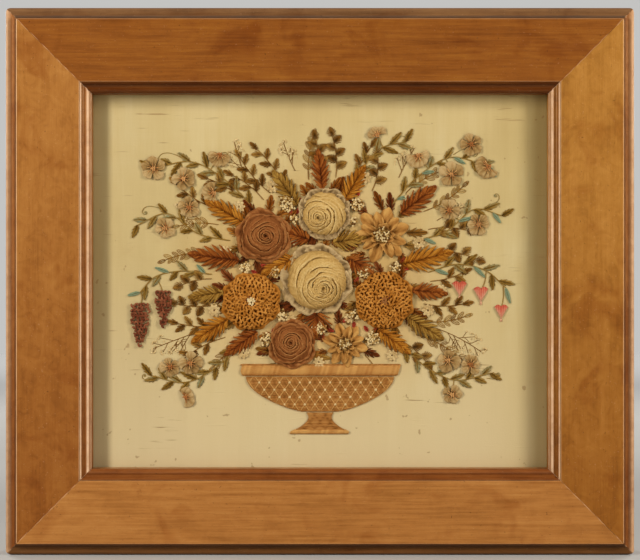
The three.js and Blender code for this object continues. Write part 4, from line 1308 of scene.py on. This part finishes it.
def make_sprays():
    petals, knots = Batch(), Batch()
    for number, (name, (corners, leaflets, blossoms, hangers)) in enumerate(SPRAYS.items()):
        line = smooth_line(corners)
        batch = Batch()
        stem_stitch(batch, line, 0.42, 3.0, 0.4, 0.1)
        for i in range(leaflets):
            point, run = along(line, (i + 0.8) / (leaflets - 1 + 0.8))
            cool = number in COOL_SPRAYS and i % 4 == 0
            angle = heading(run) + (1 if i % 2 else -1) * LEAFLET_SPREAD + 9 * math.sin(5 * i)
            length = LEAFLET_LENGTH * (1.04 - 0.22 * noise(7.3 * i, number))
            width = LEAFLET_WIDTH * (0.6 if cool else 1.1)
            tone = 0.92 if cool else 0.28 + 0.12 * (i % 3)
            floss_leaf(batch, *point, angle, length, width, tone, 0 if cool else 4)
        for share, reach, radius in blossoms:
            point, run = along(line, share)
            centre = point + np.array([-run[1], run[0]]) * reach
            if reach:
                stem_stitch(batch, even(np.array([point, centre]), 0.5), 0.3, 2.4, 0.4)
            blossom(petals, knots, *centre, BLOSSOM_SPREAD * radius, share * 9 + number)
        for share, end in hangers:
            point, _ = along(line, share)
            middle = (point + np.array(end)) / 2 + [1.2, 0]
            stem_stitch(batch, smooth_line([point, middle, end]), 0.3, 2.2, 0.35)
        sew(f"{name}_stitches", batch, "floss_olive", name)
    sew("blossom_petals", petals, "gauze_taupe")
    sew("blossom_knots", knots, "floss_orange")


def make_clusters():
    """Hanging tufts of chenille, a row of short fat loops at a time."""
    for name, (x, top, length, width) in CLUSTERS.items():
        rng = np.random.default_rng(round(-x))
        batch = Batch()
        rows = round(length / 2.7)
        for row in range(rows):
            share = (row + 0.5) / rows
            half = width / 2 * (0.62 + 0.38 * math.sin(math.pi * min(1, share + 0.25)))
            half *= 1 - 0.75 * share**5
            count = max(1, round(half / 1.45))
            across = np.linspace(-half + 1.4, half - 1.4, count) if count > 1 else np.array([0.0])
            for offset in across + rng.normal(0, 0.3, count):
                t = np.linspace(0.15, 2.6, 9) * math.pi / 2
                size = 1.35 * rng.uniform(0.85, 1.15)
                loop = about(t, size, 1.1 + 0.5 * np.sin(t))
                loop = placed(loop, offset + x, top - length * share, rng.uniform(0, 360))
                radius = 0.95 * rng.uniform(0.85, 1.15, (1, 9))
                batch.tubes(loop[None], radius, 6, rng.uniform(0.3, 0.7), relief=0.2)
                base = np.repeat(loop, 4, axis=0)
                tips = base + rng.normal(0, 0.75, base.shape) + [0, 0, 0.85]
                batch.spikes(base, tips, 0.13, rng.uniform(0.4, 1, len(base)))
        sew(f"{name}_tufts", batch, "chenille_purple", name)


def make_hearts():
    for name, (x, top, size) in HEARTS.items():
        batch = Batch()
        across = np.arange(-0.47, 0.471, 0.042) * size
        share = np.abs(across) / (size / 2)
        high = top - size * (0.16 * (2 * share - 0.9) ** 2)
        low = top - size * (1 - 0.86 * share**1.1)
        k = np.linspace(0, 1, 7)
        y = high[:, None] + (low - high)[:, None] * k
        z = 0.35 + 1.4 * np.sqrt(np.clip(1 - share**2, 0.05, 1))[:, None] * np.sin(np.pi * (0.12 + 0.76 * k))
        paths = np.stack([np.broadcast_to((across + x)[:, None], y.shape), y, z], -1)
        shade = 0.35 + 0.35 * k[None] ** 2 + 0.08 * (np.arange(len(across)) % 3)[:, None]
        batch.tubes(paths, 0.36, 5, shade, relief=0.1)
        ends = (-0.5, 0, 0.5)
        drop = np.array([[(x + dx, top - size, 0.4), (x + dx * 1.6, top - size - 3, 0.5)] for dx in ends])
        batch.tubes(drop, 0.26, 4, 0.95)
        sew(f"{name}_satin", batch, "floss_coral", name)


def bowl_half(y):
    share = np.clip((y - BOWL_BASE) / (BOWL_TOP - BOWL_BASE), 0, 1)
    return BOWL_NARROW + (BOWL_WIDE - BOWL_NARROW) * np.sin(np.pi / 2 * share) ** 0.7


def foot_half(y):
    share = np.clip((y - FOOT_BASE) / (FOOT_TOP - FOOT_BASE), 0, 1)
    return FOOT_NARROW + (FOOT_WIDE - FOOT_NARROW) * (1 - share) ** 2.4 + 4 * share**6


def rim_half(y):
    return RIM_WIDE - 3 * (RIM_TOP - y) / (RIM_TOP - RIM_BASE)


def laid_rows(batch, base, top, half, shade):
    """Long threads laid across a shape and tied down in a brick pattern."""
    for row, y in enumerate(np.arange(base + 0.4, top - 0.2, 0.66)):
        reach = float(half(y)) - 0.2
        x = np.linspace(-reach, reach, max(12, round(reach * 2 / 1.8)))
        over, up = x / LATTICE_WIDTH, (y - base) / (2 * LATTICE_HEIGHT)
        dip = np.exp(-((np.cos(np.pi * (over + up)) * np.cos(np.pi * (over - up)) / 0.16) ** 2))
        z = 0.75 - 0.3 * dip + 0.1 * noise(x / 5, row, 6)
        # Painted shade where the threads dip at the ties.
        tone = shade + 0.16 * noise(x / 16, row * 0.8, 7) - 0.28 * dip + 0.1 * (row % 2)
        path = np.stack([x, y + 0.06 * noise(x / 3, row, 8), z], -1)
        batch.tubes(path[None], 0.38, 4, tone[None], relief=0.1)


def slanted_band(batch, base, top, half, shade, lean=3.0, crown=0.7):
    """Short satin stitches that lean across a narrow band."""
    middle = float(half((base + top) / 2))
    x = np.arange(-middle + 0.4, middle - 0.3, 0.62)
    k = np.linspace(0, 1, 6)
    px = x[:, None] + lean * (k - 0.5)
    py = base + 0.3 + (top - base - 0.6) * k + 0 * px
    pz = 0.35 + crown * np.sin(np.pi * (0.1 + 0.8 * k)) + 0 * px
    px = np.clip(px, -half(py), half(py))
    # A painted highlight along the middle of each stitch, where it stands highest.
    tone = shade + 0.16 * noise(x / 2.1, 0, 3)[:, None] + 0.15 * np.sin(np.pi * k)
    batch.tubes(np.stack([px, py, pz], -1), 0.38, 5, tone, relief=0.1)


def make_bowl():
    body = Batch()
    laid_rows(body, BOWL_BASE, BOWL_TOP, bowl_half, 0.45)
    ties = []
    for row in range(1, 5):
        y = BOWL_BASE + LATTICE_HEIGHT * row
        for column in range(-8, 9):
            px = column * LATTICE_WIDTH + (LATTICE_WIDTH / 2 if row % 2 else 0)
            if abs(px) < bowl_half(y) - 4:
                ties.append((px, y, 1.0))
    rise = np.arange(0.6, 31, 0.6)
    for lean in (-1, 1):
        for start in np.arange(-90, 91, LATTICE_WIDTH):
            x = start + lean * rise * (LATTICE_WIDTH / 2) / LATTICE_HEIGHT
            line = np.stack([x, BOWL_BASE + rise], -1)
            line = line[np.abs(line[:, 0]) < bowl_half(line[:, 1]) - 1]
            if len(line) > 8:
                stem_stitch(body, line, 0.34, 3.4, 0.85, 0.95)
    sew("bowl_body_threads", body, "floss_gold", "bowl_body")
    band = Batch()
    slanted_band(band, RIM_BASE, RIM_TOP, rim_half, 0.5, crown=0.9)
    edge_line = np.stack([np.linspace(-RIM_WIDE + 1, RIM_WIDE - 1, 200), np.full(200, RIM_TOP - 0.3)], -1)
    stem_stitch(band, edge_line, 0.55, 3.4, 0.3, 0.3)
    stem_stitch(band, edge_line * [0.965, 1] - [0, RIM_TOP - RIM_BASE - 0.8], 0.55, 3.4, 0.3, 0.3)
    sew("bowl_rim_threads", band, "floss_gold", "bowl_rim")
    foot = Batch()
    laid_rows(foot, FOOT_BASE + 4, FOOT_TOP, foot_half, 0.4)
    slanted_band(foot, FOOT_BASE, FOOT_BASE + 4.4, foot_half, 0.55, lean=1.5)
    sew("bowl_foot_threads", foot, "floss_gold", "bowl_foot")
    knots = Batch()
    knots.knots(ties, 0.95, 0.8)
    sew("bowl_knots", knots, "floss_cream")


def open_leaf(batch, x, y, angle, length, width, shade):
    """A leaf worked as an outline with one stitch down its middle."""
    t = np.linspace(0.04, 0.96, 9) * 2 * np.pi
    loop = np.stack([length * (0.5 - 0.5 * np.cos(t)), width / 2 * np.sin(t), 0.25 + 0 * t], -1)
    middle = np.stack([np.linspace(0, 0.8, 9) * length, 0 * t, 0.3 + 0 * t], -1)
    batch.tubes(placed(np.stack([loop, middle]), x, y, angle), 0.28, 4, shade, relief=0.1)


def make_sprigs():
    """Small leaves on thin stems: lobed, heart-shaped or worked as outlines."""
    batch = Batch()
    for number, (x, y, angle, length, bend) in enumerate(SPRIGS):
        line = bent_line(x, y, angle, length, bend)
        stem_stitch(batch, line, 0.3, 2.4, 0.35)
        count = max(3, round(length / 6.5))
        for i in range(count):
            point, run = along(line, (i + 1.6) / (count + 0.6))
            side = 0 if i == count - 1 else (1 if i % 2 else -1)
            size = 11.5 - 0.35 * i
            tone = 0.25 + 0.3 * ((i + number) % 3) / 2
            if number % 3 == 1:
                open_leaf(batch, *point, heading(run) + side * 36, 0.75 * size, 3.0, tone + 0.2)
                open_leaf(batch, *point, heading(run) - side * 42, 0.6 * size, 2.6, tone + 0.1)
            elif number % 3 == 2:
                floss_leaf(batch, *point, heading(run) + side * 58, 0.9 * size, 8.4, tone, 0, 1.0, 0.35)
            else:
                floss_leaf(batch, *point, heading(run) + side * 48, size, 6.8, tone, 3, 0.95)
    sew("sprig_leaves", batch, "floss_brown")


def branch(batch, knots, x, y, angle, length, depth, rng):
    """A thin stem that ends in a knot and branches depth times."""
    line = bent_line(x, y, angle, length, rng.uniform(-0.15, 0.15) * length)
    path = np.array([(*p, 0.22) for p in line[::6]])
    if len(path) > 2:
        batch.tubes(path[None], 0.19 + 0.06 * depth, 4, 0.35)
    knots.append((*line[-1], 0.15))
    if not depth:
        return
    for share in np.arange(0.22, 0.96, 0.115):
        point, run = along(line, share)
        turn = heading(run) + rng.choice([-1, 1]) * rng.uniform(28, 52)
        branch(batch, knots, *point, turn, length * 0.42 * (1.25 - share), depth - 1, rng)


def make_mists():
    """Fine branching lines tipped with tiny knots."""
    rng = np.random.default_rng(12)
    branches, knots, places = Batch(), Batch(), []
    for row in MISTS:
        branch(branches, places, *row, 2, rng)
    sew("mist_branches", branches, "floss_brown")
    knots.knots(places, 0.6, 0.4 + 0.5 * rng.random(len(places)))
    sew("mist_knots", knots, "floss_cream")


def make_tendrils():
    batch = Batch()
    for x, y, angle, length, curl in TENDRILS:
        t = np.linspace(0, 1, 160)
        turn = curl * 2 * np.pi * (0.1 * t + 2.6 * t**3)
        step = np.stack([np.cos(turn), np.sin(turn), 0 * t], -1) * (length / 100) * (1.25 - 0.8 * t)[:, None]
        line = placed(np.cumsum(step, axis=0), x, y, angle)[:, :2]
        stem_stitch(batch, even(line, 0.4), 0.26, 1.9, 0.5)
    sew("tendril_stitches", batch, "floss_olive")


def make_small_flowers():
    cream, red = Batch(), Batch()
    for number, row in enumerate(DAISIES):
        daisy(cream, *row, number * 0.4)
    for number, (x, y, radius) in enumerate(KNOT_BALLS):
        places = knot_disc(radius, 1.9, number)
        tones = np.random.default_rng(number).choice([0.15, 0.5, 0.8, 0.95], len(places))
        cream.knots(placed(places, x, y, 0, 0.4), 1.05, tones)
        for side in (-1, 1):
            bearing = math.radians(40 + 70 * number + 25 * side)
            tip = (x, y) + polar(bearing, radius + 1.5)
            floss_leaf(red, *tip, math.degrees(bearing), 6.5, 3.4, 0.3)
    sew("small_cream_flowers", cream, "floss_knots")
    sew("small_red_buds", red, "floss_coral")


def make_tucked_leaves():
    """Small floss leaves that show from under the gathered flowers."""
    rng = np.random.default_rng(5)
    flowers = [row[:3] for table in (ROSES, CARNATIONS, SPIRALS, STARS) for row in table.values()]
    batches = {"brown": Batch(), "rust": Batch(), "plum": Batch()}
    for x, y, radius in flowers:
        for bearing in circle(13, 0.1 * radius) + rng.uniform(-0.2, 0.2, 13):
            base = (x, y) + polar(bearing, 0.84 * radius)
            size = rng.uniform(13, 20)
            angle = math.degrees(bearing) + rng.uniform(-34, 34)
            tip = base + polar(math.radians(angle), size)
            near = min(math.dist(tip, (fx, fy)) - r for fx, fy, r in flowers)
            colour = rng.choice(list(batches))
            if near > -4 and tip[1] > RIM_TOP - 2:
                floss_leaf(batches[colour], *base, angle, size, 9.5, rng.uniform(0.25, 0.6), 4, 0.9)
    for colour, batch in batches.items():
        sew(f"tucked_leaves_{colour}_floss", batch, f"floss_{colour}")


def make_needlework():
    kinds = ((ROSES, make_rose), (CARNATIONS, make_carnation), (SPIRALS, make_spiral), (STARS, make_star))
    for table, make in (*kinds, (LEAVES, make_leaf)):
        for name, row in table.items():
            make(name, *row)
    make_sprays()
    make_clusters()
    make_hearts()
    make_bowl()
    make_tucked_leaves()
    make_sprigs()
    make_mists()
    make_tendrils()
    make_small_flowers()


make_needlework()


# Light and floor

FLOOR_SIZE = 8
BACKDROP = (0.55, 0.545, 0.53, 1)
# place, width and power
LIGHTS = {
    "left_light": ((-1.36, -1.16, 0.72), 0.3, 27.5),
    "right_light": ((1.54, -0.98, 0.68), 0.4, 26),
    "back_left_light": ((-1.3, 1.5, 0.7), 0.8, 16),
    "back_right_light": ((1.3, 1.5, 0.7), 0.8, 16),
}


def area_light(name, place, width, power):
    """A light that stands at a place and faces the middle of the back."""
    data = bpy.data.lights.new(name, "AREA")
    data.shape = "RECTANGLE"
    data.size, data.size_y = width, 1.0
    data.energy = power
    data.color = (1, 0.985, 0.96)
    light = bpy.data.objects.new(name, data)
    light.location = place
    x, y, z = place
    pitch = math.atan2(-z, math.hypot(x, y))
    light.rotation_euler = (math.radians(90) + pitch, 0, -math.atan2(-x, -y))
    light.visible_camera = False
    scene.collection.objects.link(light)


def make_floor():
    half = FLOOR_SIZE / 2
    mesh = bpy.data.meshes.new("floor")
    level = -HALF_HEIGHT * MM - 0.0006
    corners = [(-half, -half, level), (half, -half, level), (half, half, level), (-half, half, level)]
    mesh.from_pydata(corners, [], [(0, 1, 2, 3)])
    floor = bpy.data.objects.new("floor", mesh)
    scene.collection.objects.link(floor)
    make = Nodes("floor_paint", Roughness=0.8, Emission_Color=BACKDROP)
    glow = make.between(make.length(make.place), 0.8, 3.6, 0.0, 0.93)
    make.put(glow, make.shader.inputs["Emission Strength"])
    mesh.materials.append(make.finish(make.ramp(make.noise(3), (0.3, "bdbab4"), (0.7, "c4c2bc"))))


def make_world():
    """Dim light all round, with a pale backdrop for the camera alone."""
    scene.world = bpy.data.worlds.new("studio")
    scene.world.use_nodes = True
    tree = scene.world.node_tree
    studio, backdrop = tree.nodes["Background"], tree.nodes.new("ShaderNodeBackground")
    studio.inputs["Color"].default_value = (0.62, 0.61, 0.6, 1)
    studio.inputs["Strength"].default_value = 0.12
    backdrop.inputs["Color"].default_value = BACKDROP
    seen = tree.nodes.new("ShaderNodeLightPath").outputs["Is Camera Ray"]
    mix = tree.nodes.new("ShaderNodeMixShader")
    for source, socket in zip((seen, studio.outputs[0], backdrop.outputs[0]), mix.inputs):
        tree.links.new(source, socket)
    tree.links.new(mix.outputs[0], tree.nodes["World Output"].inputs["Surface"])
    scene.view_settings.view_transform = "Standard"


make_floor()
for light, row in LIGHTS.items():
    area_light(light, *row)
make_world()
